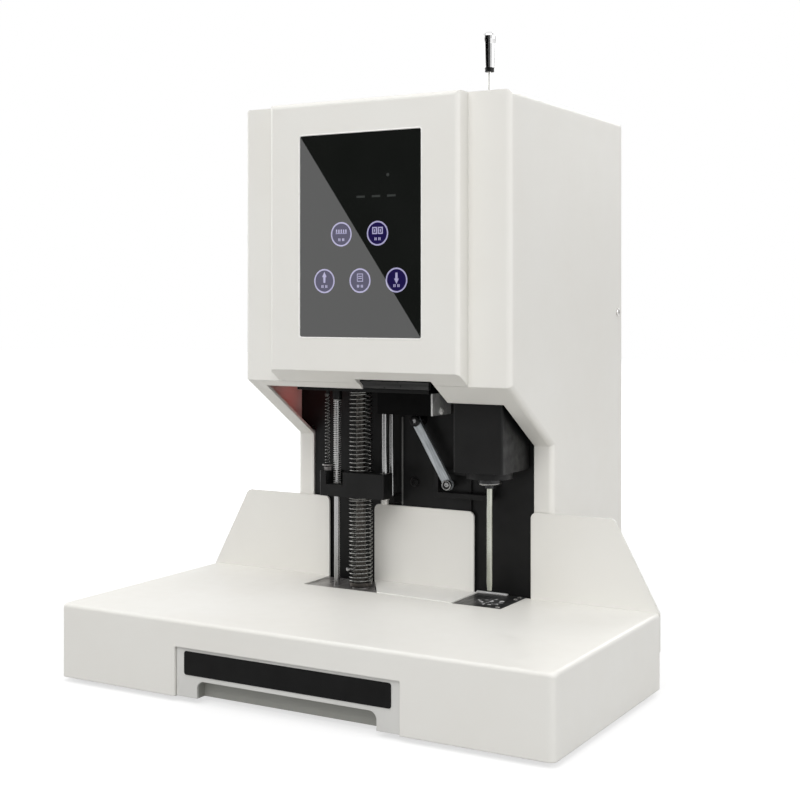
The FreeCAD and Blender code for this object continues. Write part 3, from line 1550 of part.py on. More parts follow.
def belt_drive():
    """Motor standing on its plate, two pulleys and the belt between them."""
    y = "places.stations_y"
    x, motor_x = "places.drill_x", "places.motor_x"
    wheel = pulley("pulley_small", motor_x, "dims.motor_pulley_radius",
                   "dims.motor_shaft - 0.1")
    shaft = rod("motor_axle", motor_x, y, "dims.pulley_low", "dims.motor_shaft",
                "dims.motor_plate_z + dims.motor_plate_thick - dims.pulley_low"
                " + dims.motor_shaft_seat")
    publish("motor_pulley", fuse("pulley_and_shaft", wheel, shaft))
    large = value("dims.spindle_pulley_radius + dims.belt_slack")
    small = value("dims.motor_pulley_radius + dims.belt_slack")
    thick = value("dims.belt_thick")
    span = value(x) - value(motor_x)
    lean = math.asin((large - small) / span)

    def outline(extra):
        """Belt path round both pulleys, as tangent lines and arcs."""
        points = []
        for centre, radius, side in ((value(x), large, 1), (value(motor_x), small, 1),
                                     (value(motor_x), small, -1), (value(x), large, -1)):
            reach = radius + extra
            points.append(FreeCAD.Vector(centre - reach * math.sin(lean),
                                         value(y) + side * reach * math.cos(lean), 0))
        far = FreeCAD.Vector(value(motor_x) - small - extra, value(y), 0)
        right = FreeCAD.Vector(value(x) + large + extra, value(y), 0)
        edges = [Part.LineSegment(points[0], points[1]).toShape(),
                 Part.Arc(points[1], far, points[2]).toShape(),
                 Part.LineSegment(points[2], points[3]).toShape(),
                 Part.Arc(points[3], right, points[0]).toShape()]
        return Part.Face(Part.Wire(edges))

    face = outline(thick).cut(outline(0))
    belt = doc.addObject("Part::Feature", "belt")
    belt.Shape = face.extrude(FreeCAD.Vector(0, 0, value("dims.belt_height")))
    belt.Placement = FreeCAD.Placement(
        FreeCAD.Vector(0, 0, value("dims.pulley_low + dims.belt_rise")), FreeCAD.Rotation())
    publish("drive_belt", belt)
    plate = new_body("motor_plate_body")
    low = "dims.motor_plate_z"
    high = low + " + dims.motor_plate_thick"
    half = "dims.housing_side / 2"
    pad(plate, "z", low, high,
        box_loop(motor_x + " - dims.motor_radius - dims.motor_plate_thick",
                 y + " - " + half, x + " + " + half, y + " + " + half))
    round_edges(plate, "dims.motor_plate_corner", lambda mid, way, size: way.z > 0.9)
    room = "dims.spindle_room"
    pocket(plate, "z", low + " - 1", high + " + 1",
           (x, y, "dims.spindle_radius + " + room),
           (motor_x, y, "dims.motor_shaft + " + room))
    reach = "(dims.lug_half + dims.lug_room)"
    pocket(plate, "z", low + " - 1", high + " + 1",
           box_loop("places.slide_rod_left - " + reach, "places.slide_rod_y - " + reach,
                    "places.slide_rod_left + " + reach, "%s + %s + 1" % (y, half)))
    motor = new_body("motor_can")
    radius = "dims.motor_radius"
    top = high + " + dims.motor_height"
    bore = "dims.motor_shaft + dims.motor_shaft_slack"
    boss_top = top + " + dims.motor_boss_height"
    hollow_top = high + " + dims.motor_shaft_seat + dims.motor_shaft_slack"
    turn(motor, [(bore, high), (radius, high), (radius, top + " - dims.motor_edge"),
                 (radius + " - dims.motor_edge", top), ("dims.motor_boss", top),
                 ("dims.motor_boss", boss_top), (0, boss_top), (0, hollow_top),
                 (bore, hollow_top)])
    move(motor, motor_x, y, 0)
    publish("drill_motor", motor)
    posts = []
    inset = "(dims.housing_side / 2 - dims.spacer_inset)"
    corners = [(sx, sy) for sx in ("-", "+") for sy in ("-", "+")]
    for i, (sx, sy) in enumerate(corners):
        posts.append(rod("spacer_%d" % i, "%s %s %s" % (x, sx, inset),
                         "%s %s %s" % (y, sy, inset), "dims.housing_top",
                         "dims.spacer_radius", "dims.motor_plate_z - dims.housing_top"))
    publish("motor_plate", group("plate_and_spacers", plate, *posts))


def drill_slide():
    """Carriage cheeks on two upright rods held to the mast by lugs."""
    x, y = "places.drill_x", "places.slide_rod_y"
    half = "dims.housing_side / 2"
    low, high = "dims.slide_low", "dims.housing_top"
    body = new_body("cheeks")
    back = "places.mast_front - dims.slide_room"
    rear = "places.stations_y + %s + dims.gap" % half
    lug = "dims.lug_half"
    left_out = "places.slide_rod_left - %s" % lug
    right_out = "places.slide_rod_right + %s" % lug
    left_in = "%s - %s - dims.fitted" % (x, half)
    right_in = "%s + %s + dims.fitted" % (x, half)
    front = "%s - %s" % (y, lug)
    pad(body, "z", low, high,
        [(left_out, front), (left_in, front), (left_in, rear), (right_in, rear),
         (right_in, front), (right_out, front), (right_out, back), (left_out, back)])
    hole = "dims.slide_rod_radius + dims.running"
    pocket(body, "z", low + " - 1", high + " + 1", ("places.slide_rod_left", y, hole),
           ("places.slide_rod_right", y, hole))
    publish("drill_carriage", fuse("cheeks_and_yoke", body, lift_yoke()))
    rod_low = "dims.slide_low - dims.drill_dip - dims.slide_spare_low - dims.lug_height"
    rod_high = "dims.housing_top + dims.travel + dims.slide_spare_high + dims.lug_height"
    rods = []
    lugs = []
    for side in ("left", "right"):
        place = "places.slide_rod_" + side
        rods.append(rod("slide_rod_bar_" + side, place, y, rod_low, "dims.slide_rod_radius",
                        "(%s) - (%s)" % (rod_high, rod_low)))
        for level, z in (("low", rod_low), ("high", rod_high + " - dims.lug_height")):
            lug_body = new_body("lug_%s_%s" % (side, level))
            pad(lug_body, "z", z, "%s + dims.lug_height" % z,
                box_loop("%s - %s" % (place, lug), "%s - %s" % (y, lug),
                         "%s + %s" % (place, lug), "places.mast_front"))
            pocket(lug_body, "z", z + " - 1", "%s + dims.lug_height + 1" % z,
                   (place, y, "dims.slide_rod_radius + dims.fitted"))
            lugs.append(lug_body)
    publish("slide_rods", group("slide_rod_pair", *rods))
    return lugs


def lift_yoke():
    """Slotted arm behind the housing; the lever's roller works in its slot."""
    body = new_body("yoke")
    front = "places.stations_y + dims.housing_side / 2 + dims.gap"
    middle = "places.lever_end_z"
    low, high = middle + " - dims.yoke_half", middle + " + dims.yoke_half"
    left = "(places.lever_end_x - dims.yoke_left_reach)"
    neck = "places.drill_x - dims.housing_side / 2 + dims.gap"
    toe = neck + " + dims.yoke_toe"
    top = "dims.slide_low + 0.1"
    pad(body, "y", front, front + " + dims.yoke_thick",
        [(left, low), (toe, low), (toe, top), (neck, top), (neck, high), (left, high)])
    pocket(body, "y", front + " - 1", front + " + dims.yoke_thick + 1",
           box_loop(left + " + dims.yoke_bar", middle + " - dims.slot_half",
                    toe + " - dims.yoke_bar", middle + " + dims.slot_half"))
    return body


def lift_lever():
    """Steel lever on the gear motor's shaft, with a roller at its free end."""
    body = new_body("lever")
    front = "places.lever_front"
    back = front + " + dims.lever_thick"
    half, long = "dims.lever_half", "dims.lever_length"
    pad(body, "y", front, back,
        box_loop("-" + half, "-%s" % long, half, 0))
    for z in (0, "-" + long):
        pad(body, "y", front, back, (0, z, "dims.lever_eye"))
    pocket(body, "y", front + " - 1", back + " + 1",
           (0, 0, "dims.lever_bolt + dims.fitted"))
    body.Placement.Rotation = FreeCAD.Rotation(FreeCAD.Vector(0, -1, 0),
                                               value("dims.lever_angle"))
    move(body, "places.lever_x", 0, "dims.lever_z")
    publish("lift_lever", body)
    rear = "places.mast_back + dims.shaft_reach"
    bolt_front = front + " - dims.lever_bolt_proud"
    bolt = rod("lever_bolt", "places.lever_x", bolt_front, "dims.lever_z", "dims.lever_bolt",
               "%s + dims.lever_bolt_end - (%s)" % (rear, bolt_front), "y")
    boss_front = back + " + dims.gap"
    boss = rod("lever_boss", "places.lever_x", boss_front, "dims.lever_z",
               "dims.lever_boss", "%s - (%s)" % (rear, boss_front), "y")
    head = rod("roller_head", "places.lever_end_x", front + " - dims.roller_head_height",
               "places.lever_end_z", "dims.roller_head", "dims.roller_head_height", "y")
    roller = rod("roller_stem", "places.lever_end_x", back, "places.lever_end_z",
                 "dims.roller_radius", "places.stations_y + dims.housing_side / 2 + dims.gap"
                 " + dims.yoke_thick - (%s)" % back, "y")
    publish("lever_pins", group("lever_pin_set", fuse("lever_axle", bolt, boss), head,
                                roller))


def lift_motor():
    """Worm-gear motor behind the mast that swings the lever."""
    body = new_body("gear_case")
    front = "places.mast_back + dims.gap"
    half = "dims.gearbox / 2"
    x, z = "places.lever_x", "dims.lever_z"
    back = front + " + dims.gearbox_depth"
    pad(body, "y", front, back,
        box_loop("%s - %s" % (x, half), "%s - %s" % (z, half), "%s + %s" % (x, half),
                 "%s + %s" % (z, half)))
    round_edges(body, "dims.gearbox_corner", lambda mid, way, size: way.y > 0.9)
    pocket(body, "y", front + " - 1",
           "places.mast_back + dims.shaft_reach + dims.lever_bolt_end + 1",
           (x, z, "dims.lever_boss + dims.motor_shaft_slack"))
    end = back + " + dims.lift_motor_length"
    motor = rod("lift_can", x, back + " - 0.1", z, "dims.lift_motor_radius",
                "dims.lift_motor_length + 0.1", "y")
    boss = rod("lift_boss", x, end + " - 0.1", z, "dims.lift_boss_radius",
               "dims.lift_boss_height + 0.1", "y")
    publish("lift_motor", fuse("lift_motor_case", body, motor, boss))


# --------------------------------------------------------------- clearing rod

def clearing_rod():
    """Sprung rod through the casing top; pushed down it clears the drill."""
    x, y = "places.drill_x", "places.stations_y"
    body = new_body("clear_bar")
    radius = "dims.clear_radius"
    seat = "places.seat_z"
    seat_top = seat + " + dims.seat_thick"
    end = "places.collar_z + dims.clear_in_knob"
    turn(body, [(0, "dims.clear_low"), (radius, "dims.clear_low + dims.clear_tip"),
                (radius, seat), ("dims.seat_radius", seat), ("dims.seat_radius", seat_top),
                (radius, seat_top), (radius, end), (0, end)])
    move(body, x, y, 0)
    publish("clearing_rod", body)
    collar = tube("rod_collar_ring", x, y, "places.collar_z", "dims.collar_radius",
                  radius + " + dims.fitted", "dims.collar_height")
    publish("rod_collar", collar)
    knob = new_body("knob")
    low = "(places.collar_z + dims.collar_height)"
    top = low + " + dims.knob_height"
    wide = "dims.knob_radius"
    neck = "dims.knob_neck"
    hold = radius + " + dims.fitted"
    well = end + " + dims.fitted"
    rings = [(hold, low), (neck, low), (neck + " + 0.3", low + " + 6"),
             (wide + " - 0.9", top + " - 10"), (wide, top + " - 6"),
             (wide + " - 0.4", top + " - 3.4"), (wide + " - 1.6", top + " - 1.6"),
             (wide + " - 3.4", top + " - 0.4"), (0, top),
             (0, well), (hold, well)]
    turn(knob, rings)
    move(knob, x, y, 0)
    publish("rod_knob", knob)
    grommet = new_body("grommet_ring")
    skin = "(dims.machine_height - dims.shell)"
    top = "dims.machine_height + dims.grommet_rise"
    bore = radius + " + dims.running"
    waist = "dims.grommet_radius - dims.running"
    lip = "dims.grommet_radius + dims.grommet_lip"
    turn(grommet, [(bore, skin + " - dims.grommet_depth"),
                   (lip, skin + " - dims.grommet_depth"), (lip, skin), (waist, skin),
                   (waist, "dims.machine_height"), (lip, "dims.machine_height"),
                   ("dims.grommet_radius", top), (bore, top)])
    move(grommet, x, y, 0)
    publish("rod_grommet", grommet)
    arm = new_body("guide_arm")
    pad(arm, "z", "places.guide_z", "places.guide_z + dims.guide_thick",
        box_loop(x + " - dims.guide_half", y + " - dims.guide_front",
                 x + " + dims.guide_half", "places.mast_front"))
    pocket(arm, "z", "places.guide_z - 1", "places.guide_z + dims.guide_thick + 1", (x, y, bore))
    publish("rod_spring", coil("rod_coil", x, y, "places.guide_z + dims.guide_thick", seat,
                               "dims.rod_spring_radius", "dims.rod_spring_wire",
                               "dims.rod_spring_turns"))
    return arm


# ---------------------------------------------------------------- electronics

def electronics(panel_board):
    """Power supply on the floor, and the laser that marks the drilling spot."""
    body = new_body("supply")
    low = "places.floor_top"
    front = "places.mast_back + dims.gusset_depth + dims.supply_setback"
    left = "dims.supply_left"
    top = low + " + dims.supply_board"
    pad(body, "z", low, top,
        box_loop(left, front, left + " + dims.supply_length", front + " + dims.supply_depth"))
    parts = []
    for part, width in (("transformer", "width"), ("capacitor", "length")):
        x = "%s + dims.%s_left" % (left, part)
        y = "%s + dims.%s_front" % (front, part)
        parts.append(box_loop(x, y, "%s + dims.%s_length" % (x, part),
                              "%s + dims.%s_%s" % (y, part, width)))
    pad(body, "z", top + " - 0.1", low + " + dims.supply_height", *parts)
    publish("circuit_boards", group("board_set", body, panel_board))
    laser = new_body("laser_case")
    inner = "-(places.half_column - dims.shell)"
    z = "(dims.chin_height + dims.laser_rise)"
    front = "places.head_front + dims.laser_setback"
    pad(laser, "z", z, z + " + dims.laser_arm_thick",
        box_loop(inner, front, inner + " + dims.laser_arm", front + " + dims.laser_width"))
    x, y = inner + " + dims.laser_hold", front + " + dims.laser_width / 2"
    pocket(laser, "z", z + " - 1", z + " + dims.laser_arm_thick + 1",
           (x, y, "dims.laser_radius + dims.fitted"))
    barrel = rod("laser_barrel", x, y, z + " - dims.laser_drop", "dims.laser_radius",
                 "dims.laser_length")
    publish("laser_pointer", barrel)
    return laser


# ------------------------------------------------------------------- assembly

base_cover()
base_plate()
pan_screws = feet() + fences() + casing_screws()
publish("pan_screws", group("pan_screw_set", *pan_screws))
casing_shell()
front_cover()
panel_board = touch_panel()
rear_cover()
power_entry()
scrap_drawer()
drawer_label()
bed_bridge()
rivet_plate()
lower_die()
socket_screws = drill_bed()
mast_plate()
brackets = []
socket_screws += gear_plate() + press_frame(brackets)
publish("socket_screws", group("socket_screw_set", *socket_screws))
press_carriage()
pressure_sleeve()
press_springs()
brackets.append(press_actuator())
drill_housing()
spindle()
belt_drive()
brackets += drill_slide()
lift_lever()
lift_motor()
brackets += [clearing_rod(), electronics(panel_board)]
publish("inner_brackets", group("bracket_set", *brackets))

doc.recompute()
faults = [item.Name for item in doc.Objects
          if {"Invalid", "Error"} & set(item.State)]
for item in published:
    if item.Shape.isNull() or not item.Shape.isValid() or not item.Shape.Solids:
        faults.append(item.Label)
if faults:
    raise ValueError("not built: " + ", ".join(faults))

os.makedirs("parts", exist_ok=True)
for item in published:
    item.Shape.exportStep("parts/%s.step" % item.Label)
print(len(published), "sub-parts")
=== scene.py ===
import math

import bmesh
import bpy
from mathutils import Matrix, Vector


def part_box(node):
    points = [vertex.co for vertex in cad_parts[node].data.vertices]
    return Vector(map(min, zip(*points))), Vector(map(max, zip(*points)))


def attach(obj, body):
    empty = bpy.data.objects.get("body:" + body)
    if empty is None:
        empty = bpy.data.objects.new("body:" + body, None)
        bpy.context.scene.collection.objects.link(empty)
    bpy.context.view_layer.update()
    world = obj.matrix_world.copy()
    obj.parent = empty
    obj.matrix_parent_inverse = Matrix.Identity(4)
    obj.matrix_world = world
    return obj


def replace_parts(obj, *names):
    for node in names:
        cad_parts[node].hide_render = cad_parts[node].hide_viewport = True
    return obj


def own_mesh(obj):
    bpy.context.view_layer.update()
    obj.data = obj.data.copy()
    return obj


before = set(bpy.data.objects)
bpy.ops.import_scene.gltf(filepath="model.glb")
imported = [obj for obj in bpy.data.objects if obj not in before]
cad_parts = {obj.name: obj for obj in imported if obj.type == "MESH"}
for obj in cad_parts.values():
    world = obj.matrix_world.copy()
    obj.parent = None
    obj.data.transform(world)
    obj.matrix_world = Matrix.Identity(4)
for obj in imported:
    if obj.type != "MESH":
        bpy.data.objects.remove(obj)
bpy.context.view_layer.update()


# ---- Floor plate, bracket and chip strip
# The T-shaped floor plate with its drawer rails is galvanised sheet, cut and
# folded. The press bracket and the strip behind the drill plate are the same
# zinc, left bare, so they show its cloudy spangle.

def tree(material):
    """The nodes and links of a material or the world."""
    return material.node_tree.nodes, material.node_tree.links


def shader_inputs(material):
    """The sockets of a material's main shader."""
    return material.node_tree.nodes["Principled BSDF"].inputs


def on_piece(material):
    """Coordinates that stay on the piece."""
    return material.node_tree.nodes["Texture Coordinate"].outputs["Object"]


def finish(name, colour, roughness, metal=0.0, shine=0.5):
    """Starts a finish with its plain colour and gloss."""
    material = bpy.data.materials.new(name)
    material.use_nodes = True
    inputs = shader_inputs(material)
    inputs["Base Color"].default_value = (*colour, 1)
    inputs["Roughness"].default_value = roughness
    inputs["Metallic"].default_value = metal
    inputs["Specular IOR Level"].default_value = shine
    material.node_tree.nodes.new("ShaderNodeTexCoord")
    return material


def noise(material, size, detail=2.0, stretch=(1, 1, 1), place=None):
    """Noise whose lumps are about size metres across."""
    nodes, links = tree(material)
    mapping = nodes.new("ShaderNodeMapping")
    mapping.inputs["Scale"].default_value = stretch
    links.new(place or on_piece(material), mapping.inputs["Vector"])
    lumps = nodes.new("ShaderNodeTexNoise")
    lumps.inputs["Scale"].default_value = 1 / size
    lumps.inputs["Detail"].default_value = detail
    links.new(mapping.outputs["Vector"], lumps.inputs["Vector"])
    return lumps.outputs["Fac"]


def spread(material, value, low, high, start=0.3, end=0.7):
    """Turns a value between start and end into one from low to high."""
    nodes, links = tree(material)
    ramp = nodes.new("ShaderNodeMapRange")
    for name, number in (("From Min", start), ("From Max", end), ("To Min", low),
                         ("To Max", high)):
        ramp.inputs[name].default_value = number
    links.new(value, ramp.inputs["Value"])
    return ramp.outputs["Result"]


def tint(material, value, dark, light, start=0.3, end=0.7):
    """Lets the colour wander between two shades."""
    nodes, links = tree(material)
    ramp = nodes.new("ShaderNodeValToRGB")
    ramp.color_ramp.elements[0].position = start
    ramp.color_ramp.elements[1].position = end
    ramp.color_ramp.elements[0].color = (*dark, 1)
    ramp.color_ramp.elements[1].color = (*light, 1)
    links.new(value, ramp.inputs["Fac"])
    links.new(ramp.outputs["Color"], shader_inputs(material)["Base Color"])


def polish(material, value, low, high):
    """Lets the roughness wander from low to high."""
    links = tree(material)[1]
    links.new(spread(material, value, low, high), shader_inputs(material)["Roughness"])


def dents(material, value, depth, soft_edge=0.0):
    """Raises the surface by a value; soft_edge rounds the sharp corners that show."""
    nodes, links = tree(material)
    bump = nodes.new("ShaderNodeBump")
    bump.inputs["Strength"].default_value = 1.0
    bump.inputs["Distance"].default_value = depth
    links.new(value, bump.inputs["Height"])
    if soft_edge:
        edge = nodes.new("ShaderNodeBevel")
        edge.samples = 4
        edge.inputs["Radius"].default_value = soft_edge
        links.new(edge.outputs["Normal"], bump.inputs["Normal"])
    links.new(bump.outputs["Normal"], shader_inputs(material)["Normal"])


def dress(material, *names):
    """Gives CAD pieces their finish."""
    for name in names:
        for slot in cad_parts[name].material_slots:
            slot.material = material


zinc = finish("zinc", (0.74, 0.74, 0.72), 0.45, 0.1)
SPANGLE = 0.006
nodes, links = tree(zinc)
spangle = nodes.new("ShaderNodeTexVoronoi")
spangle.inputs["Scale"].default_value = 1 / SPANGLE
links.new(on_piece(zinc), spangle.inputs["Vector"])
tint(zinc, spangle.outputs["Color"], (0.64, 0.64, 0.63), (0.84, 0.84, 0.82))
polish(zinc, noise(zinc, 0.004), 0.32, 0.55)
dents(zinc, noise(zinc, 0.0012), 0.00002, 0.0003)
dress(zinc, "base_plate", "side_bracket", "stop_strip")


def made(name, mesh, material, body):
    """Puts a finished mesh on its body."""
    mesh.materials.append(material)
    piece = bpy.data.objects.new(name, mesh)
    bpy.context.scene.collection.objects.link(piece)
    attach(piece, body)
    return piece


def crisp(mesh, degrees=35):
    """Smooth faces that keep their real corners sharp."""
    for face in mesh.polygons:
        face.use_smooth = True
    mesh.set_sharp_from_angle(angle=math.radians(degrees))


def swept(name, outline, left, right, material, body):
    """A bar along X with a (y, z) outline."""
    mesh = bpy.data.meshes.new(name)
    form = bmesh.new()
    ends = [[form.verts.new((x, y, z)) for y, z in outline] for x in (left, right)]
    for i in range(len(outline)):
        j = (i + 1) % len(outline)
        form.faces.new((ends[0][i], ends[0][j], ends[1][j], ends[1][i]))
    form.faces.new(ends[0])
    form.faces.new(list(reversed(ends[1])))
    bmesh.ops.recalc_face_normals(form, faces=form.faces)
    bmesh.ops.bevel(form, geom=[e for e in form.edges if e.calc_face_angle(0) > 1.2],
                    offset=0.0003, segments=2, affect="EDGES")
    form.to_mesh(mesh)
    form.free()
    crisp(mesh)
    return made(name, mesh, material, body)


# The strip is a slim drawn bar with a rounded back.
STRIP_WALL, STRIP_ROUND = 0.0009, 0.0008
QUARTER_TURN = (0.0, 0.5, 1.0, 1.57)
(strip_left, strip_front, strip_low), (strip_right, strip_back, _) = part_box("stop_strip")
strip = [(strip_front, strip_low), (strip_back, strip_low)]
strip += [(strip_back - STRIP_ROUND * (1 - math.cos(a)),
           strip_low + STRIP_WALL + STRIP_ROUND * math.sin(a))
          for a in QUARTER_TURN]
strip += [(strip_front + STRIP_ROUND * (1 - math.cos(a)),
           strip_low + STRIP_WALL + STRIP_ROUND * math.sin(a))
          for a in reversed(QUARTER_TURN)]
bar_steel = finish("bar_steel", (0.74, 0.74, 0.73), 0.3, 0.5)
tint(bar_steel, noise(bar_steel, 0.004, 3, (0.1, 1, 1)), (0.68, 0.68, 0.67),
     (0.80, 0.80, 0.79))
polish(bar_steel, noise(bar_steel, 0.001, 3, (0.1, 1, 1)), 0.22, 0.4)
dents(bar_steel, noise(bar_steel, 0.0006), 0.000004)
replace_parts(swept("strip_bar", strip, strip_left, strip_right, bar_steel, "base"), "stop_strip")


# ---- Feet
# Six turned rubber feet, each held by a screw up its middle. The rubber is
# dull, a little dusty, and the grommet and the belt are the same stuff.

rubber = finish("rubber", (0.02, 0.02, 0.02), 0.8)
tint(rubber, noise(rubber, 0.007, 4), (0.014, 0.014, 0.014), (0.032, 0.031, 0.030))
polish(rubber, noise(rubber, 0.003), 0.65, 0.9)
dents(rubber, noise(rubber, 0.0006), 0.00003)
dress(rubber, "rubber_feet", "rod_grommet", "drive_belt")


# ---- Casing, table box and fences
# Folded sheet steel with an ivory powder coat. The coat has a fine orange
# peel, is satin, and softens every fold; the table top is a little rubbed.

ivory_coat = finish("ivory_coat", (0.79, 0.78, 0.74), 0.45)
tint(ivory_coat, noise(ivory_coat, 0.09, 3), (0.78, 0.765, 0.722), (0.80, 0.79, 0.752))
polish(ivory_coat, noise(ivory_coat, 0.012, 5), 0.38, 0.52)
dents(ivory_coat, noise(ivory_coat, 0.0011, 1), 0.00002, 0.0012)
dress(ivory_coat, "base_cover", "casing_shell", "front_cover", "fence_left",
      "fence_middle", "fence_right", "rear_cover")

# The middle fence has a thin foot folded forward between the two stations. Its coat is
# painted lighter than the table's: painted light against the shade under the head.
shade_lifted_coat = finish("shade_lifted_coat", (0.82, 0.81, 0.775), 0.5)
tint(shade_lifted_coat, noise(shade_lifted_coat, 0.03, 4), (0.81, 0.80, 0.765), (0.83, 0.82, 0.785))
polish(shade_lifted_coat, noise(shade_lifted_coat, 0.008, 5), 0.42, 0.58)
dents(shade_lifted_coat, noise(shade_lifted_coat, 0.0011, 1), 0.00002)
TABLE_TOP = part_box("base_cover")[1][2]
FOOT_THICK = 0.0006
FOOT_OUTLINE = [(-0.0155, -0.0190), (0.0570, -0.0240), (0.0570, 0.0228), (-0.0425, 0.0228)]
foot_mesh = bpy.data.meshes.new("fence_foot")
form = bmesh.new()
sole = form.faces.new([form.verts.new((x, y, TABLE_TOP)) for x, y in FOOT_OUTLINE])
lifted = bmesh.ops.extrude_face_region(form, geom=[sole])["geom"]
bmesh.ops.translate(form, vec=(0, 0, FOOT_THICK),
                    verts=[v for v in lifted if isinstance(v, bmesh.types.BMVert)])
bmesh.ops.recalc_face_normals(form, faces=form.faces)
top_edges = [e for e in form.edges
             if min(v.co.z for v in e.verts) > TABLE_TOP + FOOT_THICK / 2]
bmesh.ops.bevel(form, geom=top_edges, offset=0.0002, segments=2, affect="EDGES")
form.to_mesh(foot_mesh)
form.free()
crisp(foot_mesh)
made("fence_foot", foot_mesh, shade_lifted_coat, "base")


# ---- Scrap drawer
# A folded tray with a painted front, a shade greyer than the casing. Its
# black label is a satin plastic strip glued on, left without lettering.

drawer_paint = finish("drawer_paint", (0.66, 0.655, 0.63), 0.5)
tint(drawer_paint, noise(drawer_paint, 0.05, 3), (0.64, 0.635, 0.61), (0.68, 0.675, 0.65))
# Painted shade in the finger grip: everything behind the front sheet is coloured darker.
FRONT_SHEET_BACK = (-0.1772, -0.1752)
nodes, links = tree(drawer_paint)
coat = shader_inputs(drawer_paint)["Base Color"]
parts = nodes.new("ShaderNodeSeparateXYZ")
links.new(on_piece(drawer_paint), parts.inputs["Vector"])
behind = spread(drawer_paint, parts.outputs["Y"], 0.0, 1.0, *FRONT_SHEET_BACK)
recess_shade = nodes.new("ShaderNodeMix")
recess_shade.data_type = "RGBA"
links.new(behind, recess_shade.inputs["Factor"])
links.new(coat.links[0].from_socket, recess_shade.inputs["A"])
recess_shade.inputs["B"].default_value = (0.30, 0.30, 0.275, 1)
links.new(recess_shade.outputs["Result"], coat)
polish(drawer_paint, noise(drawer_paint, 0.01, 4), 0.42, 0.6)
dents(drawer_paint, noise(drawer_paint, 0.0009, 1), 0.00002, 0.0006)
dress(drawer_paint, "scrap_drawer")

label_black = finish("label_black", (0.007, 0.007, 0.007), 0.4, shine=0.08)
tint(label_black, noise(label_black, 0.02, 4), (0.006, 0.006, 0.006), (0.009, 0.009, 0.009))
polish(label_black, noise(label_black, 0.004, 4), 0.32, 0.5)
dents(label_black, noise(label_black, 0.0005), 0.00001, 0.0003)
dress(label_black, "drawer_label")


# ---- Black steel of the mechanism
# Mast, plates, brackets, drill housing and press carriage are steel plate with
# a black oxide, oiled. It is nearly matt on the flats and greyer where handled.

black_oxide = finish("black_oxide", (0.006, 0.006, 0.006), 0.42, shine=0.2)
tint(black_oxide, noise(black_oxide, 0.03, 5), (0.004, 0.004, 0.004), (0.009, 0.009, 0.009))
polish(black_oxide, noise(black_oxide, 0.008, 5), 0.3, 0.55)
dents(black_oxide, noise(black_oxide, 0.0008, 3), 0.000025, 0.0008)
dress(black_oxide, "bed_bridge", "mast_plate", "gear_plate", "top_plate",
      "inner_brackets", "press_carriage", "drill_housing", "bearing_cap", "motor_plate",
      "drill_carriage", "socket_screws", "rod_collar")

# The rod block under the top plate is never touched and stays quite matt.
matt_black = finish("matt_black", (0.0025, 0.0025, 0.0025), 0.6, shine=0.06)
tint(matt_black, noise(matt_black, 0.02, 4), (0.0018, 0.0018, 0.0018),
     (0.0035, 0.0035, 0.0035))
polish(matt_black, noise(matt_black, 0.006, 4), 0.5, 0.7)
dents(matt_black, noise(matt_black, 0.0008, 3), 0.00002, 0.0006)
dress(matt_black, "rod_block")

# The drill plate is rubbed greyer by paper.
rubbed_black = finish("rubbed_black", (0.022, 0.022, 0.022), 0.4, 0.3)
tint(rubbed_black, noise(rubbed_black, 0.008, 5, (1, 0.3, 1)), (0.012, 0.012, 0.012),
     (0.040, 0.040, 0.039))
polish(rubbed_black, noise(rubbed_black, 0.003, 4, (1, 0.2, 1)), 0.3, 0.5)
dents(rubbed_black, noise(rubbed_black, 0.0008, 3), 0.00002, 0.0004)
dress(rubbed_black, "drill_plate")

# A stiffening bar stands on the front edge of the press's top plate.
BAR_LEFT, BAR_THICK, BAR_HEIGHT = -0.040, 0.004, 0.0068
(_, bar_front, _), (bar_right, _, bar_low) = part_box("top_plate")
bar_black = finish("bar_black", (0.05, 0.05, 0.05), 0.35, 0.4)
tint(bar_black, noise(bar_black, 0.002, 3, (0.06, 1, 1)), (0.035, 0.035, 0.034),
     (0.075, 0.075, 0.073))
polish(bar_black, noise(bar_black, 0.003, 4), 0.25, 0.45)
dents(bar_black, noise(bar_black, 0.0006, 2, (0.1, 1, 1)), 0.00001, 0.0008)
swept("front_bar", [(bar_front, bar_low), (bar_front + BAR_THICK, bar_low),
                    (bar_front + BAR_THICK, bar_low + BAR_HEIGHT),
                    (bar_front, bar_low + BAR_HEIGHT)],
      BAR_LEFT, bar_right, bar_black, "base")

# The gear plate's left edge is sawn and left bare.
EDGE_LOW, EDGE_TOP, EDGE_WIDTH = 0.1300, 0.2060, 0.0016
EDGE_RISE, EDGE_SLOPE = 0.0006, 0.0003
gear_left, gear_front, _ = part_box("gear_plate")[0]
bare_edge = finish("bare_edge", (0.16, 0.16, 0.155), 0.4, 0.3)
tint(bare_edge, noise(bare_edge, 0.004, 3, (1, 1, 0.1)), (0.13, 0.13, 0.125),
     (0.20, 0.20, 0.195))
polish(bare_edge, noise(bare_edge, 0.002, 3), 0.3, 0.5)
dents(bare_edge, noise(bare_edge, 0.0006, 2, (1, 1, 0.1)), 0.00001)
swept("gear_edge", [(gear_front, EDGE_LOW),
                    (gear_front - EDGE_RISE, EDGE_LOW + EDGE_SLOPE),
                    (gear_front - EDGE_RISE, EDGE_TOP - EDGE_SLOPE),
                    (gear_front, EDGE_TOP)],
      gear_left, gear_left + EDGE_WIDTH, bare_edge, "base")


# ---- Rivet bed
# The plate under the press and its die are ground steel, darkened by heat and
# rubbed bright round the middle by the rivets.

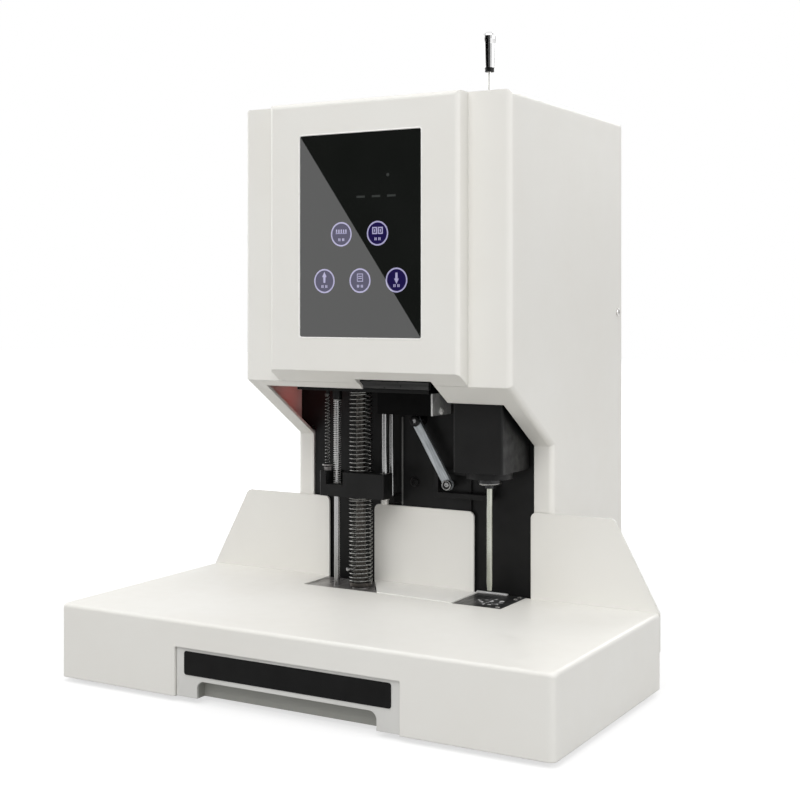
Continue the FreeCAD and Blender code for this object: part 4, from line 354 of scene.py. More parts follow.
ground_steel = finish("ground_steel", (0.30, 0.285, 0.28), 0.35, 0.7)
tint(ground_steel, noise(ground_steel, 0.012, 4, (1, 0.25, 1)), (0.20, 0.185, 0.18),
     (0.38, 0.37, 0.365))
polish(ground_steel, noise(ground_steel, 0.002, 3, (1, 0.15, 1)), 0.25, 0.5)
dents(ground_steel, noise(ground_steel, 0.0006, 2, (1, 0.1, 1)), 0.00001, 0.0003)
dress(ground_steel, "rivet_plate", "lower_die")


# ---- Cutting pad
# A turned nylon disc that the drill cuts into; it is scored in rings. Its pale patches are
# partly paler cut marks and partly painted glints. It is turned by hand to spread the wear.

pad_nylon = finish("pad_nylon", (0.08, 0.08, 0.08), 0.5)
tint(pad_nylon, noise(pad_nylon, 0.0042, 5), (0.035, 0.035, 0.035), (0.80, 0.80, 0.80),
     0.53, 0.64)
polish(pad_nylon, noise(pad_nylon, 0.001, 3), 0.3, 0.6)
dents(pad_nylon, noise(pad_nylon, 0.0012, 4), 0.0001, 0.0002)
dress(pad_nylon, "drill_pad")


# ---- Rods, shafts and lever
# Bright steel: ground rods and shafts, the polished lift lever and the turned
# chuck. The grinding runs along the rods, so the shine is drawn out along Z.

# The steel's colour is kept darker than bare steel's, as painted shade for the dark surroundings
# it mirrors.
bright_steel = finish("bright_steel", (0.34, 0.34, 0.34), 0.2, 1.0)
tint(bright_steel, noise(bright_steel, 0.012, 3, (1, 1, 0.12)), (0.30, 0.30, 0.30),
     (0.38, 0.38, 0.38))
polish(bright_steel, noise(bright_steel, 0.004, 3, (1, 1, 0.08)), 0.16, 0.28)
dents(bright_steel, noise(bright_steel, 0.0015, 2, (1, 1, 0.05)), 0.000003, 0.0004)
dress(bright_steel, "press_rods", "slide_rods", "spindle", "motor_pulley", "lever_pins")

# The clearing rod is polished where it slides.
polished_rod = finish("polished_rod", (0.78, 0.78, 0.76), 0.2, 0.35)
tint(polished_rod, noise(polished_rod, 0.012, 3, (1, 1, 0.12)), (0.74, 0.74, 0.72),
     (0.82, 0.82, 0.80))
polish(polished_rod, noise(polished_rod, 0.004, 3, (1, 1, 0.08)), 0.15, 0.28)
dents(polished_rod, noise(polished_rod, 0.0015, 2, (1, 1, 0.05)), 0.000002)
dress(polished_rod, "clearing_rod")

# The lever is a milled bar, brushed along its length.
lever_steel = finish("lever_steel", (0.42, 0.44, 0.46), 0.4, 0.6)
LEVER_LEAN = math.radians(30.8)
nodes, links = tree(lever_steel)
along = nodes.new("ShaderNodeMapping")
along.inputs["Rotation"].default_value = (0, LEVER_LEAN, 0)
links.new(on_piece(lever_steel), along.inputs["Vector"])
lean = along.outputs["Vector"]
tint(lever_steel, noise(lever_steel, 0.0016, 4, (1, 1, 0.12), lean), (0.27, 0.29, 0.305),
     (0.52, 0.55, 0.57))
polish(lever_steel, noise(lever_steel, 0.002, 3, (1, 1, 0.1), lean), 0.28, 0.46)
dents(lever_steel, noise(lever_steel, 0.0008, 2, (1, 1, 0.06), lean), 0.00001, 0.0009)
dress(lever_steel, "lift_lever")


def turned(name, profile, spots, way, material, body, hole=None, steps=48):
    """Spins (radius, height) pairs about way at each spot; hole is (outline, depth)."""
    mesh = bpy.data.meshes.new(name)
    form = bmesh.new()
    stand = Vector((0, 0, 1)).rotation_difference(Vector(way)).to_matrix().to_4x4()
    for spot in spots:
        fresh, rings = [], []
        for radius, height in profile:
            count = steps if radius else 1
            ring = [form.verts.new((radius * math.cos(2 * math.pi * i / steps),
                                    radius * math.sin(2 * math.pi * i / steps), height))
                    for i in range(count)]
            rings.append(ring)
            fresh += ring
        for a, b in zip(rings, rings[1:]):
            for i in range(steps):
                j = (i + 1) % steps
                corner = [a[i % len(a)], a[j % len(a)], b[j % len(b)], b[i % len(b)]]
                form.faces.new(list(dict.fromkeys(corner)))
        if hole:
            outline, depth = hole
            top = profile[-1][1]
            mouth = [form.verts.new((x, y, top)) for x, y in outline]
            under = [form.verts.new((x, y, top - depth)) for x, y in outline]
            fresh += mouth + under
            edges = [form.edges.get((rings[-1][i], rings[-1][(i + 1) % steps]))
                     for i in range(steps)]
            n = len(mouth)
            edges += [form.edges.new((mouth[i], mouth[(i + 1) % n])) for i in range(n)]
            bmesh.ops.triangle_fill(form, use_beauty=True, edges=edges)
            for i in range(n):
                j = (i + 1) % n
                form.faces.new((mouth[i], mouth[j], under[j], under[i]))
            form.faces.new(under)
        bmesh.ops.transform(form, matrix=Matrix.Translation(spot) @ stand, verts=fresh)
    bmesh.ops.recalc_face_normals(form, faces=form.faces)
    form.to_mesh(mesh)
    form.free()
    crisp(mesh)
    return made(name, mesh, material, body)


def cross(reach, half):
    """Outline of a cross recess."""
    return [(reach, -half), (reach, half), (half, half), (half, reach), (-half, reach),
            (-half, half), (-reach, half), (-reach, -half), (-half, -half),
            (-half, -reach), (half, -reach), (half, -half)]


def hexagon(radius):
    """Outline of a hexagon socket."""
    return [(radius * math.cos(math.pi * i / 3), radius * math.sin(math.pi * i / 3))
            for i in range(6)]


def dome(radius, height, flat):
    """Profile of a pan head with a flat of the given radius on top."""
    return [(radius, 0), (radius, 0.55 * height),
            (0.45 * radius + 0.55 * flat, 0.85 * height), (flat, height)]


# A blackened socket screw holds the lever on its shaft, and a bright shouldered
# screw with a socket carries the roller at its foot.
FRONT, BACK, UP, DOWN, RIGHT = (0, -1, 0), (0, 1, 0), (0, 0, 1), (0, 0, -1), (1, 0, 0)
LEVER_SHAFT, LEVER_FOOT = (0.0037, 0.012, 0.204), (0.0346, 0.0096, 0.15203)
turned("lever_cap", dome(0.0047, 0.0023, 0.0034), [LEVER_SHAFT], FRONT, black_oxide,
       "lift_arm", (hexagon(0.0021), 0.0014))
turned("roller_rim", [(0.00432, -0.0022), (0.00432, 0.0002), (0.0040, 0.0006),
                      (0.0035, 0.0006), (0.0031, 0.0001)], [LEVER_FOOT], FRONT,
       bright_steel, "lift_arm")
# A flat black disc in the gap between the roller's rim and its screw is painted shade.
turned("roller_gap_shade", [(0.0031, 0.0001), (0.0, 0.0001)], [LEVER_FOOT], FRONT, black_oxide,
       "lift_arm")
turned("roller_screw", [(0.0021, 0.0001), (0.0021, 0.0007), (0.0018, 0.0010)],
       [(0.0352, 0.0096, 0.1524)], FRONT, bright_steel, "lift_arm",
       (hexagon(0.0010), 0.0006))

# The spring post's nut and seat on the carriage are plain steel, gone dull.
POST_X, POST_Y = -0.0725, -0.006
turned("post_nut", [(0.0036, 0), (0.0036, 0.0031), (0.0032, 0.0034), (0.0, 0.0034)],
       [(POST_X, POST_Y, 0.15995)], UP, ground_steel, "rivet_head", steps=6)
turned("post_seat", [(0.0030, 0), (0.0044, 0.0001), (0.0045, 0.0004), (0.0045, 0.0012),
                     (0.0042, 0.0015), (0.0, 0.0015)],
       [(POST_X, POST_Y, 0.1639)], UP, ground_steel, "rivet_head")

# The chuck is bright steel coloured black as painted shade under the drill housing; only
# its lower rim is left bright.
chuck_shade_black = finish("chuck_shade_black", (0.035, 0.035, 0.036), 0.3, 0.8)
tint(chuck_shade_black, noise(chuck_shade_black, 0.003, 4), (0.026, 0.026, 0.027),
     (0.046, 0.046, 0.047))
polish(chuck_shade_black, noise(chuck_shade_black, 0.001, 3), 0.22, 0.4)
dents(chuck_shade_black, noise(chuck_shade_black, 0.0006, 2, (0.2, 0.2, 1)), 0.000005, 0.0003)
dress(chuck_shade_black, "drill_chuck", "spindle_bearings")
DRILL_X, RIVET_X, STATIONS_Y = 0.081, -0.041, -0.003
turned("chuck_rim", [(0.00825, -0.00003), (0.0087, 0.0003), (0.0091, 0.0007),
                     (0.00934, 0.0011), (0.00934, 0.0014)],
       [(DRILL_X, STATIONS_Y, 0.157)], UP, bright_steel, "drill_spindle",
       steps=72)

# The punch and its foot are coloured a dark, slightly brown steel.
dark_brown_steel = finish("dark_brown_steel", (0.06, 0.055, 0.05), 0.35, 0.8)
tint(dark_brown_steel, noise(dark_brown_steel, 0.01, 4, (1, 1, 0.3)), (0.04, 0.036, 0.034),
     (0.10, 0.09, 0.08))
polish(dark_brown_steel, noise(dark_brown_steel, 0.003, 3), 0.25, 0.45)
dents(dark_brown_steel, noise(dark_brown_steel, 0.0008, 2), 0.000006, 0.0004)
dress(dark_brown_steel, "punch_shaft", "pressure_sleeve")

# The carriage runs in two bronze bushes; the right one shows below it.
bush_bronze = finish("bush_bronze", (0.44, 0.43, 0.41), 0.3, 0.6)
tint(bush_bronze, noise(bush_bronze, 0.002, 4), (0.38, 0.37, 0.35), (0.50, 0.49, 0.46))
polish(bush_bronze, noise(bush_bronze, 0.001, 3), 0.2, 0.4)
dents(bush_bronze, noise(bush_bronze, 0.0005), 0.000006, 0.0003)
dress(bush_bronze, "carriage_bushes")
LEFT_ROD_X, RIGHT_ROD_X = -0.06475, -0.01725
turned("bush_end", [(0.0027, 0.0001), (0.0027, 0), (0.0031, 0), (0.0033, 0.0002),
                    (0.0033, 0.0046)], [(RIGHT_ROD_X, STATIONS_Y, 0.1338)], UP, bush_bronze,
       "rivet_head")

# The hollow drill is ground and has gone a little yellow.
drill_steel = finish("drill_steel", (0.42, 0.43, 0.38), 0.2, 1.0)
tint(drill_steel, noise(drill_steel, 0.006, 3, (1, 1, 0.3)), (0.37, 0.38, 0.33),
     (0.46, 0.47, 0.42))
polish(drill_steel, noise(drill_steel, 0.002, 3, (1, 1, 0.2)), 0.14, 0.24)
dents(drill_steel, noise(drill_steel, 0.0008, 2, (1, 1, 0.1)), 0.000003)
dress(drill_steel, "drill_bit")


# ---- Springs
# Five springs wound from round wire, with a closed turn at each end. The wire is
# oiled and has a greyish draw to it, and its colour is kept dark as painted shade for
# the dark surroundings it mirrors; the fine spring on the left rod is plated.

spring_wire = finish("spring_wire", (0.22, 0.22, 0.215), 0.22, 1.0)
tint(spring_wire, noise(spring_wire, 0.003, 4), (0.15, 0.15, 0.145), (0.29, 0.29, 0.28))
polish(spring_wire, noise(spring_wire, 0.0012, 3), 0.14, 0.34)
dents(spring_wire, noise(spring_wire, 0.0004, 2), 0.000008)

plated_wire = finish("plated_wire", (0.60, 0.60, 0.59), 0.35, 0.5)
tint(plated_wire, noise(plated_wire, 0.003, 4), (0.52, 0.52, 0.51), (0.66, 0.66, 0.65))
polish(plated_wire, noise(plated_wire, 0.0012, 3), 0.28, 0.45)
dents(plated_wire, noise(plated_wire, 0.0004, 2), 0.000004)


def wound_spring(node, body, x, y, low, high, radius, wire, turns,
                 material=spring_wire):
    """Winds one spring in place of its square-wire solid."""
    mesh = bpy.data.meshes.new(node + "_wire")
    coil = bmesh.new()
    round_steps, sides, closed = 36, 8, 1.0
    middle = radius - wire / 2
    bottom, top = low + wire / 2, high - wire / 2
    rise = (top - bottom - 2 * closed * wire) / (turns - 2 * closed)
    rings = []
    for i in range(int(turns * round_steps) + 1):
        turn = i / round_steps
        angle = 2 * math.pi * turn
        if turn < closed:
            z = bottom + wire * turn
        elif turn > turns - closed:
            z = top - wire * (turns - turn)
        else:
            z = bottom + wire * closed + rise * (turn - closed)
        out = Vector((math.cos(angle), math.sin(angle), 0))
        spot = Vector((x, y, z)) + out * middle
        ring = []
        for k in range(sides):
            a = 2 * math.pi * k / sides
            ring.append(coil.verts.new(spot + out * (wire / 2 * math.cos(a))
                                       + Vector((0, 0, wire / 2 * math.sin(a)))))
        rings.append(ring)
    for a, b in zip(rings, rings[1:]):
        for k in range(sides):
            coil.faces.new((a[k], a[(k + 1) % sides], b[(k + 1) % sides], b[k]))
    coil.faces.new(rings[0])
    coil.faces.new(list(reversed(rings[-1])))
    bmesh.ops.recalc_face_normals(coil, faces=coil.faces)
    for facet in coil.faces:
        facet.smooth = True
    coil.to_mesh(mesh)
    coil.free()
    piece = made(node + "_wire", mesh, material, body)
    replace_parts(piece, node)
    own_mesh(piece)


CARRIAGE_LOW, FOOT_KEEP = 0.139, 0.862
wound_spring("main_spring", "base", RIVET_X, STATIONS_Y, 0.160, 0.229, 0.0102, 0.0014, 20)
wound_spring("foot_spring", "rivet_head", RIVET_X, STATIONS_Y, 0.0666, CARRIAGE_LOW, 0.0102,
             0.0013, 22)
wound_spring("fine_spring", "base", LEFT_ROD_X, STATIONS_Y, 0.149, 0.221, 0.00335, 0.0007,
             40, plated_wire)
wound_spring("return_spring", "base", POST_X, POST_Y, 0.1655, 0.226, 0.0024, 0.0008, 22)
wound_spring("rod_spring", "base", DRILL_X, STATIONS_Y, 0.421, 0.458, 0.0042, 0.0008, 12)

# A small clip with a round head grips one coil of the foot spring and moves with it.
clip = turned("spring_clip", [(0.0, 0), (0.0008, 0), (0.0008, 0.0072), (0.0015, 0.0076),
                              (0.0017, 0.0085), (0.0014, 0.0096), (0.0, 0.0099)],
              [(-0.0421, -0.0112, 0.0795)], (-0.146, -0.989, 0), bright_steel, "rivet_head",
              steps=24)
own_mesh(clip)


# ---- Motors, push rod and laser
# Bought-in units: grey painted gear motors, a moulded black push rod, and a
# laser in a plain brass case.

motor_grey = finish("motor_grey", (0.035, 0.035, 0.038), 0.45)
tint(motor_grey, noise(motor_grey, 0.02, 4), (0.028, 0.028, 0.030), (0.045, 0.045, 0.048))
polish(motor_grey, noise(motor_grey, 0.005, 3), 0.35, 0.55)
dents(motor_grey, noise(motor_grey, 0.0009), 0.00003, 0.0005)
dress(motor_grey, "lift_motor", "drill_motor")

moulded_black = finish("moulded_black", (0.02, 0.02, 0.02), 0.45)
tint(moulded_black, noise(moulded_black, 0.01, 4), (0.016, 0.016, 0.016),
     (0.026, 0.026, 0.027))
polish(moulded_black, noise(moulded_black, 0.003, 3), 0.38, 0.55)
dents(moulded_black, noise(moulded_black, 0.0004, 3), 0.00003, 0.0004)
dress(moulded_black, "press_actuator", "power_inlet")

rocker_red = finish("rocker_red", (0.45, 0.02, 0.015), 0.3)
tint(rocker_red, noise(rocker_red, 0.006, 3), (0.38, 0.016, 0.012), (0.50, 0.024, 0.018))
polish(rocker_red, noise(rocker_red, 0.002, 3), 0.24, 0.4)
dents(rocker_red, noise(rocker_red, 0.0005, 2), 0.00001, 0.0004)
dress(rocker_red, "power_rocker")

laser_brass = finish("laser_brass", (0.50, 0.36, 0.12), 0.3, 1.0)
tint(laser_brass, noise(laser_brass, 0.002, 4), (0.42, 0.29, 0.09), (0.56, 0.41, 0.15))
polish(laser_brass, noise(laser_brass, 0.001, 3), 0.2, 0.4)
dents(laser_brass, noise(laser_brass, 0.0004), 0.00001, 0.0002)
dress(laser_brass, "laser_pointer")


# ---- Circuit boards
# Glass-fibre boards with green solder mask; their parts are part of the solid
# and take the same mask here.

board_green = finish("board_green", (0.02, 0.10, 0.05), 0.35)
tint(board_green, noise(board_green, 0.003, 2), (0.015, 0.08, 0.04), (0.03, 0.14, 0.07))
polish(board_green, noise(board_green, 0.001, 3), 0.25, 0.5)
dents(board_green, noise(board_green, 0.0006), 0.00003, 0.0002)
dress(board_green, "circuit_boards")


# ---- Screws
# Nickel-plated pan heads with a cross recess hold the fences, the feet and the
# casing's sides. Small socket screws hold the plates of the mechanism.

nickel = finish("nickel", (0.60, 0.59, 0.57), 0.25, 1.0)
tint(nickel, noise(nickel, 0.002, 4), (0.50, 0.49, 0.47), (0.68, 0.67, 0.65))
polish(nickel, noise(nickel, 0.001, 3), 0.18, 0.4)
dents(nickel, noise(nickel, 0.0004), 0.00001, 0.0003)
dress(nickel, "pan_screws")

CASING_SIDE, SIDE_SCREW_Y = 0.1245, 0.1685
for name, side in (("side_screws_left", -1), ("side_screws_right", 1)):
    heads = turned(name, dome(0.0034, 0.0014, 0.0022),
                   [(side * CASING_SIDE, SIDE_SCREW_Y, z) for z in (0.080, 0.2956)],
                   (side, 0, 0), nickel, "base",
                   (cross(0.0017, 0.0004), 0.0009))
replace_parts(heads, "pan_screws")
turned("fence_screws", dome(0.0030, 0.0016, 0.0020),
       [(x, 0.025, 0.0425) for x in (-0.195, -0.137, -0.018, 0.030, 0.137, 0.195)],
       BACK, nickel, "base", (cross(0.0016, 0.0004), 0.0009))
FOOT_WELL = 0.0040
turned("foot_screws", dome(0.0045, 0.0036, 0.0030),
       [(x, y, FOOT_WELL) for x in (-0.185, 0.185) for y in (-0.150, -0.007)]
       + [(x, 0.148, FOOT_WELL) for x in (-0.0945, 0.0945)], DOWN, nickel, "base",
       (cross(0.0022, 0.0005), 0.0014))

# The drill plate's small screws are bright and those in the gear plate blackened. The
# bracket's is coloured near-white as a painted highlight, as is the lip round the glass.
heads = turned("plate_screws", dome(0.0019, 0.0009, 0.0011),
               [(0.0961, y, 0.0623) for y in (-0.0191, 0.01435, 0.0225)], UP, nickel,
               "base", (hexagon(0.0007), 0.0005), 24)
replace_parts(heads, "socket_screws")
turned("gear_screws", dome(0.0040, 0.0022, 0.0032),
       [(x, 0.0253, z) for x, z in ((-0.0039, 0.1506), (0.042, 0.216))], FRONT, black_oxide,
       "base", (hexagon(0.0020), 0.0015))
highlight_white = finish("highlight_white", (0.90, 0.89, 0.86), 0.3)
tint(highlight_white, noise(highlight_white, 0.03, 3), (0.88, 0.87, 0.84), (0.92, 0.91, 0.88))
polish(highlight_white, noise(highlight_white, 0.006, 3), 0.25, 0.38)
dents(highlight_white, noise(highlight_white, 0.001, 1), 0.00001)
turned("bracket_screw", dome(0.0030, 0.0021, 0.0019), [(0.0313, 0.007, 0.214)], RIGHT,
       highlight_white, "base", (hexagon(0.0011), 0.0012))


# ---- Clearing-rod knob
# A turned steel teardrop, chromed and pressed on the end of the clearing rod. It is
# polished all over, so it mirrors the room.

chrome = finish("chrome", (0.66, 0.66, 0.66), 0.06, 1.0)
tint(chrome, noise(chrome, 0.004, 3), (0.63, 0.63, 0.63), (0.69, 0.69, 0.685))
polish(chrome, noise(chrome, 0.001, 4), 0.03, 0.12)
dents(chrome, noise(chrome, 0.002), 0.000005)
dress(chrome, "rod_knob")


# ---- Touch glass
# Black glass with the keys printed behind it, lit lavender when the machine is
# on. Each key is a ring round a dark blue disc with a picture in it.

touch_black = finish("touch_black", (0.009, 0.010, 0.009), 0.01)
tint(touch_black, noise(touch_black, 0.05, 2), (0.008, 0.009, 0.008), (0.010, 0.011, 0.010))
polish(touch_black, noise(touch_black, 0.01, 5), 0.004, 0.012)
dents(touch_black, noise(touch_black, 0.03, 1), 0.0000004)
dress(touch_black, "touch_glass")

(GLASS_LEFT, GLASS_FACE, GLASS_LOW), (GLASS_RIGHT, _, GLASS_TOP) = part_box("touch_glass")
COVER_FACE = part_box("front_cover")[0][1]


# The cover's cut edge round the glass is rolled to a thin smooth lip. Its near-white
# colour, lighter than the coat, is a painted highlight.
def lip_loop(form, grow, y, corner=0.0016, steps=6):
    """Rounded rectangle round the glass, grown by grow."""
    x0, x1 = GLASS_LEFT - grow, GLASS_RIGHT + grow
    z0, z1 = GLASS_LOW - grow, GLASS_TOP + grow
    r = corner + grow
    loop = []
    for x, z, start in ((x1 - r, z1 - r, 0), (x0 + r, z1 - r, 1), (x0 + r, z0 + r, 2),
                        (x1 - r, z0 + r, 3)):
        for i in range(steps + 1):
            a = math.pi / 2 * (start + i / steps)
            loop.append(form.verts.new((x + r * math.cos(a), y, z + r * math.sin(a))))
    return loop


lip_mesh = bpy.data.meshes.new("glass_lip")
lip_form = bmesh.new()
loops = [lip_loop(lip_form, grow, y) for grow, y in (
    (0.0011, COVER_FACE + 0.00002), (0.0009, COVER_FACE - 0.0002),
    (0.0004, COVER_FACE - 0.0003), (0.0001, COVER_FACE - 0.0001),
    (-0.0001, GLASS_FACE - 0.00002))]
for a, b in zip(loops, loops[1:]):
    for i in range(len(a)):
        j = (i + 1) % len(a)
        lip_form.faces.new((a[i], a[j], b[j], b[i]))
bmesh.ops.recalc_face_normals(lip_form, faces=lip_form.faces)
for facet in lip_form.faces:
    facet.smooth = True
lip_form.to_mesh(lip_mesh)
lip_form.free()
if sum(p.normal.y for p in lip_mesh.polygons) > 0:
    lip_mesh.flip_normals()
made("glass_lip", lip_mesh, highlight_white, "base")


def key_print(name, colour, glow):
    """Printing under the glass: the colour and the glass's own shine."""
    material = finish(name, colour, 0.01)
    dark = tuple(0.85 * c for c in colour)
    tint(material, noise(material, 0.002, 3), dark, colour)
    polish(material, noise(material, 0.01, 5), 0.004, 0.012)
    shader_inputs(material)["Emission Color"].default_value = (*colour, 1)
    shader_inputs(material)["Emission Strength"].default_value = glow
    return material


lavender = key_print("lavender", (0.36, 0.34, 0.52), 0.25)
key_blue = key_print("key_blue", (0.012, 0.008, 0.055), 0.3)
faint_print = key_print("faint_print", (0.035, 0.038, 0.036), 0.3)
PRINT_THICK = 0.00004


def printed(name, shapes, layer, material):
    """Flat shapes on the glass: each a list of (x, z) corners, or a (hole, rim) pair."""
    mesh = bpy.data.meshes.new(name)
    sheet = bmesh.new()
    y = GLASS_FACE - PRINT_THICK * layer
    for shape in shapes:
        if isinstance(shape, tuple):
            inner, outer = shape
            a = [sheet.verts.new((x, y, z)) for x, z in inner]
            b = [sheet.verts.new((x, y, z)) for x, z in outer]
            for i in range(len(a)):
                j = (i + 1) % len(a)
                sheet.faces.new((a[i], a[j], b[j], b[i]))
        else:
            sheet.faces.new([sheet.verts.new((x, y, z)) for x, z in shape])
    for facet in sheet.faces:
        facet.normal_update()
        if facet.normal.y > 0:
            facet.normal_flip()
    sheet.to_mesh(mesh)
    sheet.free()
    return made(name, mesh, material, "base")


def circle(x, z, radius, steps=64):
    """Outline of a disc."""
    turn = 2 * math.pi / steps
    return [(x + radius * math.cos(turn * i), z + radius * math.sin(turn * i))
            for i in range(steps)]


def bar(x, z, width, height):
    """Outline of a bar about its middle."""
    return [(x - width / 2, z - height / 2), (x + width / 2, z - height / 2),
            (x + width / 2, z + height / 2), (x - width / 2, z + height / 2)]


def frame_of(x, z, width, height, line):
    """A bar's outline drawn as a line."""
    return (bar(x, z, width - 2 * line, height - 2 * line), bar(x, z, width, height))


KEYS = {"rivet": (-0.0182, 0.3588), "book": (0.0156, 0.3588), "up": (-0.0343, 0.3214),
        "page": (-0.0006, 0.3215), "down": (0.0329, 0.3217)}
DISC, RING_HOLE, RING_RIM, FINE_LINE = 0.0094, 0.0086, 0.0098, 0.0006
printed("key_discs", [circle(x, z, DISC) for x, z in KEYS.values()], 1, key_blue)
printed("key_rings", [(circle(x, z, RING_HOLE), circle(x, z, RING_RIM))
                      for x, z in KEYS.values()], 2, lavender)


def arrow(x, z, way):
    """Shaft and head of an arrow that points up (1) or down (-1)."""
    tall = 0.0052 * way
    return [[(x - 0.0009, z - tall * 0.7), (x + 0.0009, z - tall * 0.7),
             (x + 0.0011, z + tall * 0.2), (x - 0.0011, z + tall * 0.2)],
            [(x - 0.0022, z + tall * 0.2), (x + 0.0022, z + tall * 0.2), (x, z + tall)]]


pictures = []
for key, way in (("up", 1), ("down", -1)):
    x, z = KEYS[key]
    pictures += arrow(x, z + 0.0022, way)
x, z = KEYS["page"]
pictures += [frame_of(x, z + 0.0024, 0.0056, 0.0064, FINE_LINE)]
pictures += [bar(x, z + rise, 0.0034, FINE_LINE) for rise in (0.0034, 0.0018)]
x, z = KEYS["book"]
for side in (-1, 1):
    pictures += [frame_of(x + 0.0026 * side, z + 0.0022, 0.0046, 0.0056, 0.0010),
                 bar(x + 0.0026 * side, z + 0.0022, 0.0010, 0.0022)]
x, z = KEYS["rivet"]
pictures += [bar(x + 0.0022 * k, z + 0.0020, 0.0011, 0.0036) for k in (-2, -1, 0, 1, 2)]
pictures += [bar(x, z + 0.0006, 0.0106, FINE_LINE)]
# Under each picture stand four plain bars.
for x, z in KEYS.values():
    pictures += [bar(x + 0.0012 * k, z - 0.0044, 0.0008, 0.0022) for k in (-2, -1, 1, 2)]
printed("key_pictures", pictures, 2, lavender)
printed("sleeping_display", [bar(x, 0.3882, 0.0078, 0.0017) for x in (0.0, 0.0142, 0.0282)]
        + [circle(0.0250, 0.4047, 0.0014, 20)], 1, faint_print)


# ---- Laser light
# The red light of the pointer, a bought-in laser held by an arm on the mast. A
# small lamp stands for it and lights the inside of the head's left wall.

glow = bpy.data.lights.new("laser_glow", "POINT")
glow.color = (1.0, 0.05, 0.03)
glow.energy = 0.0045
glow.shadow_soft_size = 0.006
glow_spot = bpy.data.objects.new("laser_glow", glow)
glow_spot.location = (-0.098, 0.008, 0.222)
glow_spot.visible_camera = False
glow_spot.visible_glossy = False
bpy.context.scene.collection.objects.link(glow_spot)


# ---- Floor, lamps and camera
# A white floor in a white room, and five soft lamps: over the front, in front, at
# each side and behind. What stands outside the view is there for its mirror image:
# a bright card and two dark flags for the glass, and a grey flag for the metal.

def stage_sheet(name, corners, material):
    """A flat sheet of the stage."""
    mesh = bpy.data.meshes.new(name)
    mesh.from_pydata(corners, [], [tuple(range(len(corners)))])
    mesh.materials.append(material)
    sheet = bpy.data.objects.new(name, mesh)
    bpy.context.scene.collection.objects.link(sheet)
    return sheet


def seen(nodes, links):
    """1 for what the camera or a mirror sees, 0 for what only lights the object."""
    path = nodes.new("ShaderNodeLightPath")
    either = nodes.new("ShaderNodeMath")
    either.operation = "MAXIMUM"
    links.new(path.outputs["Is Camera Ray"], either.inputs[0])
    links.new(path.outputs["Is Glossy Ray"], either.inputs[1])
    return either.outputs["Value"]


# The floor glows where it is seen, more with its distance, so it ends in white.
floor_white = finish("floor_white", (0.40, 0.40, 0.40), 0.9, shine=0.0)
tint(floor_white, noise(floor_white, 0.5, 2), (0.39, 0.39, 0.39), (0.41, 0.41, 0.41))
nodes, links = tree(floor_white)
paint = nodes["Principled BSDF"].outputs["BSDF"]
away = nodes.new("ShaderNodeVectorMath")
away.operation = "LENGTH"
links.new(on_piece(floor_white), away.inputs[0])
lift = nodes.new("ShaderNodeEmission")
links.new(spread(floor_white, away.outputs["Value"], 0.64, 1.0, 0.6, 1.5),
          lift.inputs["Strength"])
both = nodes.new("ShaderNodeAddShader")
links.new(paint, both.inputs[0])
links.new(lift.outputs["Emission"], both.inputs[1])
mix = nodes.new("ShaderNodeMixShader")
links.new(seen(nodes, links), mix.inputs["Fac"])
links.new(paint, mix.inputs[1])
links.new(both.outputs["Shader"], mix.inputs[2])
links.new(mix.outputs["Shader"], nodes["Material Output"].inputs["Surface"])
FLOOR_HALF = 6
stage_sheet("floor", [(x * FLOOR_HALF, y * FLOOR_HALF, 0)
                      for x, y in ((-1, -1), (1, -1), (1, 1), (-1, 1))], floor_white)


def mirrored_sheet(name, corners, strength):
    """A sheet that shows in the glass and the polished metal only."""
    material = bpy.data.materials.new(name)
    material.use_nodes = True
    nodes, links = tree(material)
    light = nodes.new("ShaderNodeEmission")
    light.inputs["Strength"].default_value = strength
    links.new(light.outputs["Emission"], nodes["Material Output"].inputs["Surface"])
    sheet = stage_sheet(name, corners, material)
    sheet.visible_camera = False
    sheet.visible_diffuse = False
    sheet.visible_shadow = False
    sheet.visible_transmission = False


def upright(left, right, y, top):
    """Corners of a sheet that stands on the floor."""
    return [(left, y, 0.0), (right, y, 0.0), (right, y, top), (left, y, top)]


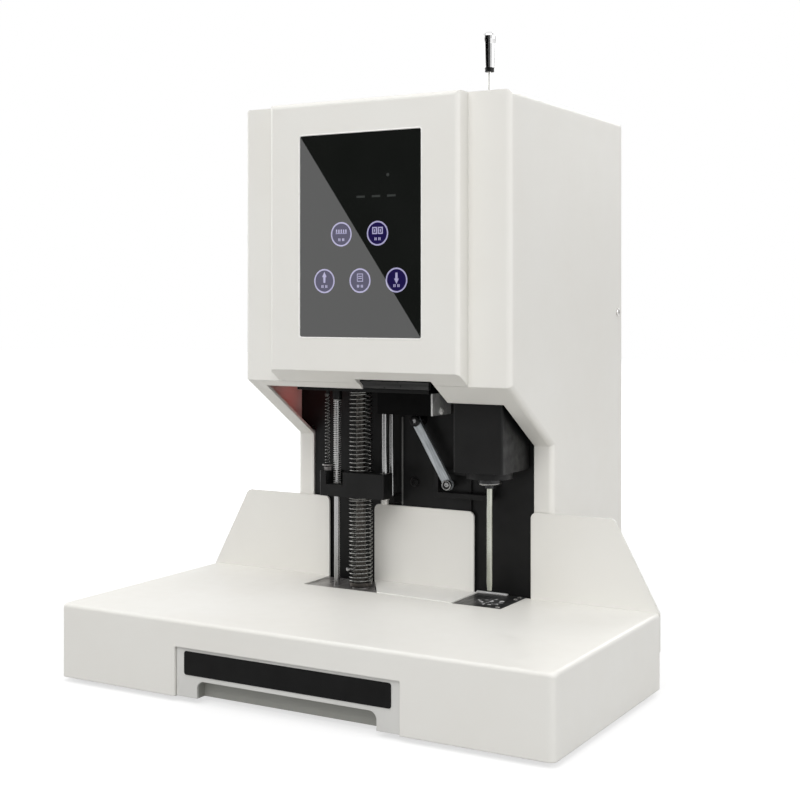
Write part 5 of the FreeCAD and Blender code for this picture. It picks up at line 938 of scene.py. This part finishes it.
# The card is the lower left half of the glass, spread from the camera's place.
EYE_X, EYE_Z, CARD_Y, CARD_SPREAD = 0.579, 0.304, -1.5, 2.513
mirrored_sheet("window_card", [(EYE_X + (x - EYE_X) * CARD_SPREAD, CARD_Y,
                                EYE_Z + (z - EYE_Z) * CARD_SPREAD)
                               for x, z in ((-0.058, 0.4395), (-0.058, 0.2761),
                                            (0.055, 0.2761))], 2.5)
mirrored_sheet("black_flag", upright(-1.9, 0.2, -1.52, 1.7), 0.0)
mirrored_sheet("grey_flag", upright(0.2, 1.3, -1.52, 1.7), 0.1)
mirrored_sheet("back_flag", upright(-0.8, 2.0, 2.9, 2.2), 0.4)

# The room is white where it is seen and lights the object only a little.
world = bpy.data.worlds.new("white_room")
bpy.context.scene.world = world
world.use_nodes = True
nodes, links = tree(world)
room = nodes["Background"]
white = nodes.new("ShaderNodeBackground")
for light, strength in ((room, 0.25), (white, 1.0)):
    light.inputs["Color"].default_value = (1, 1, 1, 1)
    light.inputs["Strength"].default_value = strength
mix = nodes.new("ShaderNodeMixShader")
links.new(seen(nodes, links), mix.inputs["Fac"])
links.new(room.outputs["Background"], mix.inputs[1])
links.new(white.outputs["Background"], mix.inputs[2])
links.new(mix.outputs["Shader"], nodes["World Output"].inputs["Surface"])


def soft_lamp(name, spot, aim, size, power):
    """A square lamp that looks at aim."""
    lamp = bpy.data.lights.new(name, "AREA")
    lamp.size = size
    lamp.energy = power
    piece = bpy.data.objects.new(name, lamp)
    piece.location = spot
    piece.rotation_euler = (Vector(aim) - Vector(spot)).to_track_quat("-Z", "Y").to_euler()
    bpy.context.scene.collection.objects.link(piece)


HEAD, FOOT = (0, 0, 0.25), (0, 0, 0.2)
soft_lamp("top_lamp", (0.1, -1.1, 2.2), FOOT, 2.6, 39)
soft_lamp("front_lamp", (0.5, -2.3, 1.1), HEAD, 2.2, 23)
soft_lamp("right_lamp", (2.2, 0.3, 1.0), HEAD, 1.4, 19.8)
soft_lamp("left_lamp", (-2.2, 0.3, 1.0), HEAD, 1.4, 18)
soft_lamp("back_lamp", (0.0, 2.3, 1.2), HEAD, 1.4, 22)

camera = bpy.data.cameras.new("camera")
camera.lens = 62.71
camera.sensor_width = 36
camera.shift_y = -0.1214
camera.clip_start = 0.05
eye = bpy.data.objects.new("camera", camera)
eye.location = (0.5792, -1.0154, 0.3038)
eye.rotation_euler = (math.radians(90), 0, math.radians(29.88))
bpy.context.scene.collection.objects.link(eye)
bpy.context.scene.camera = eye
bpy.context.scene.view_settings.view_transform = "Standard"
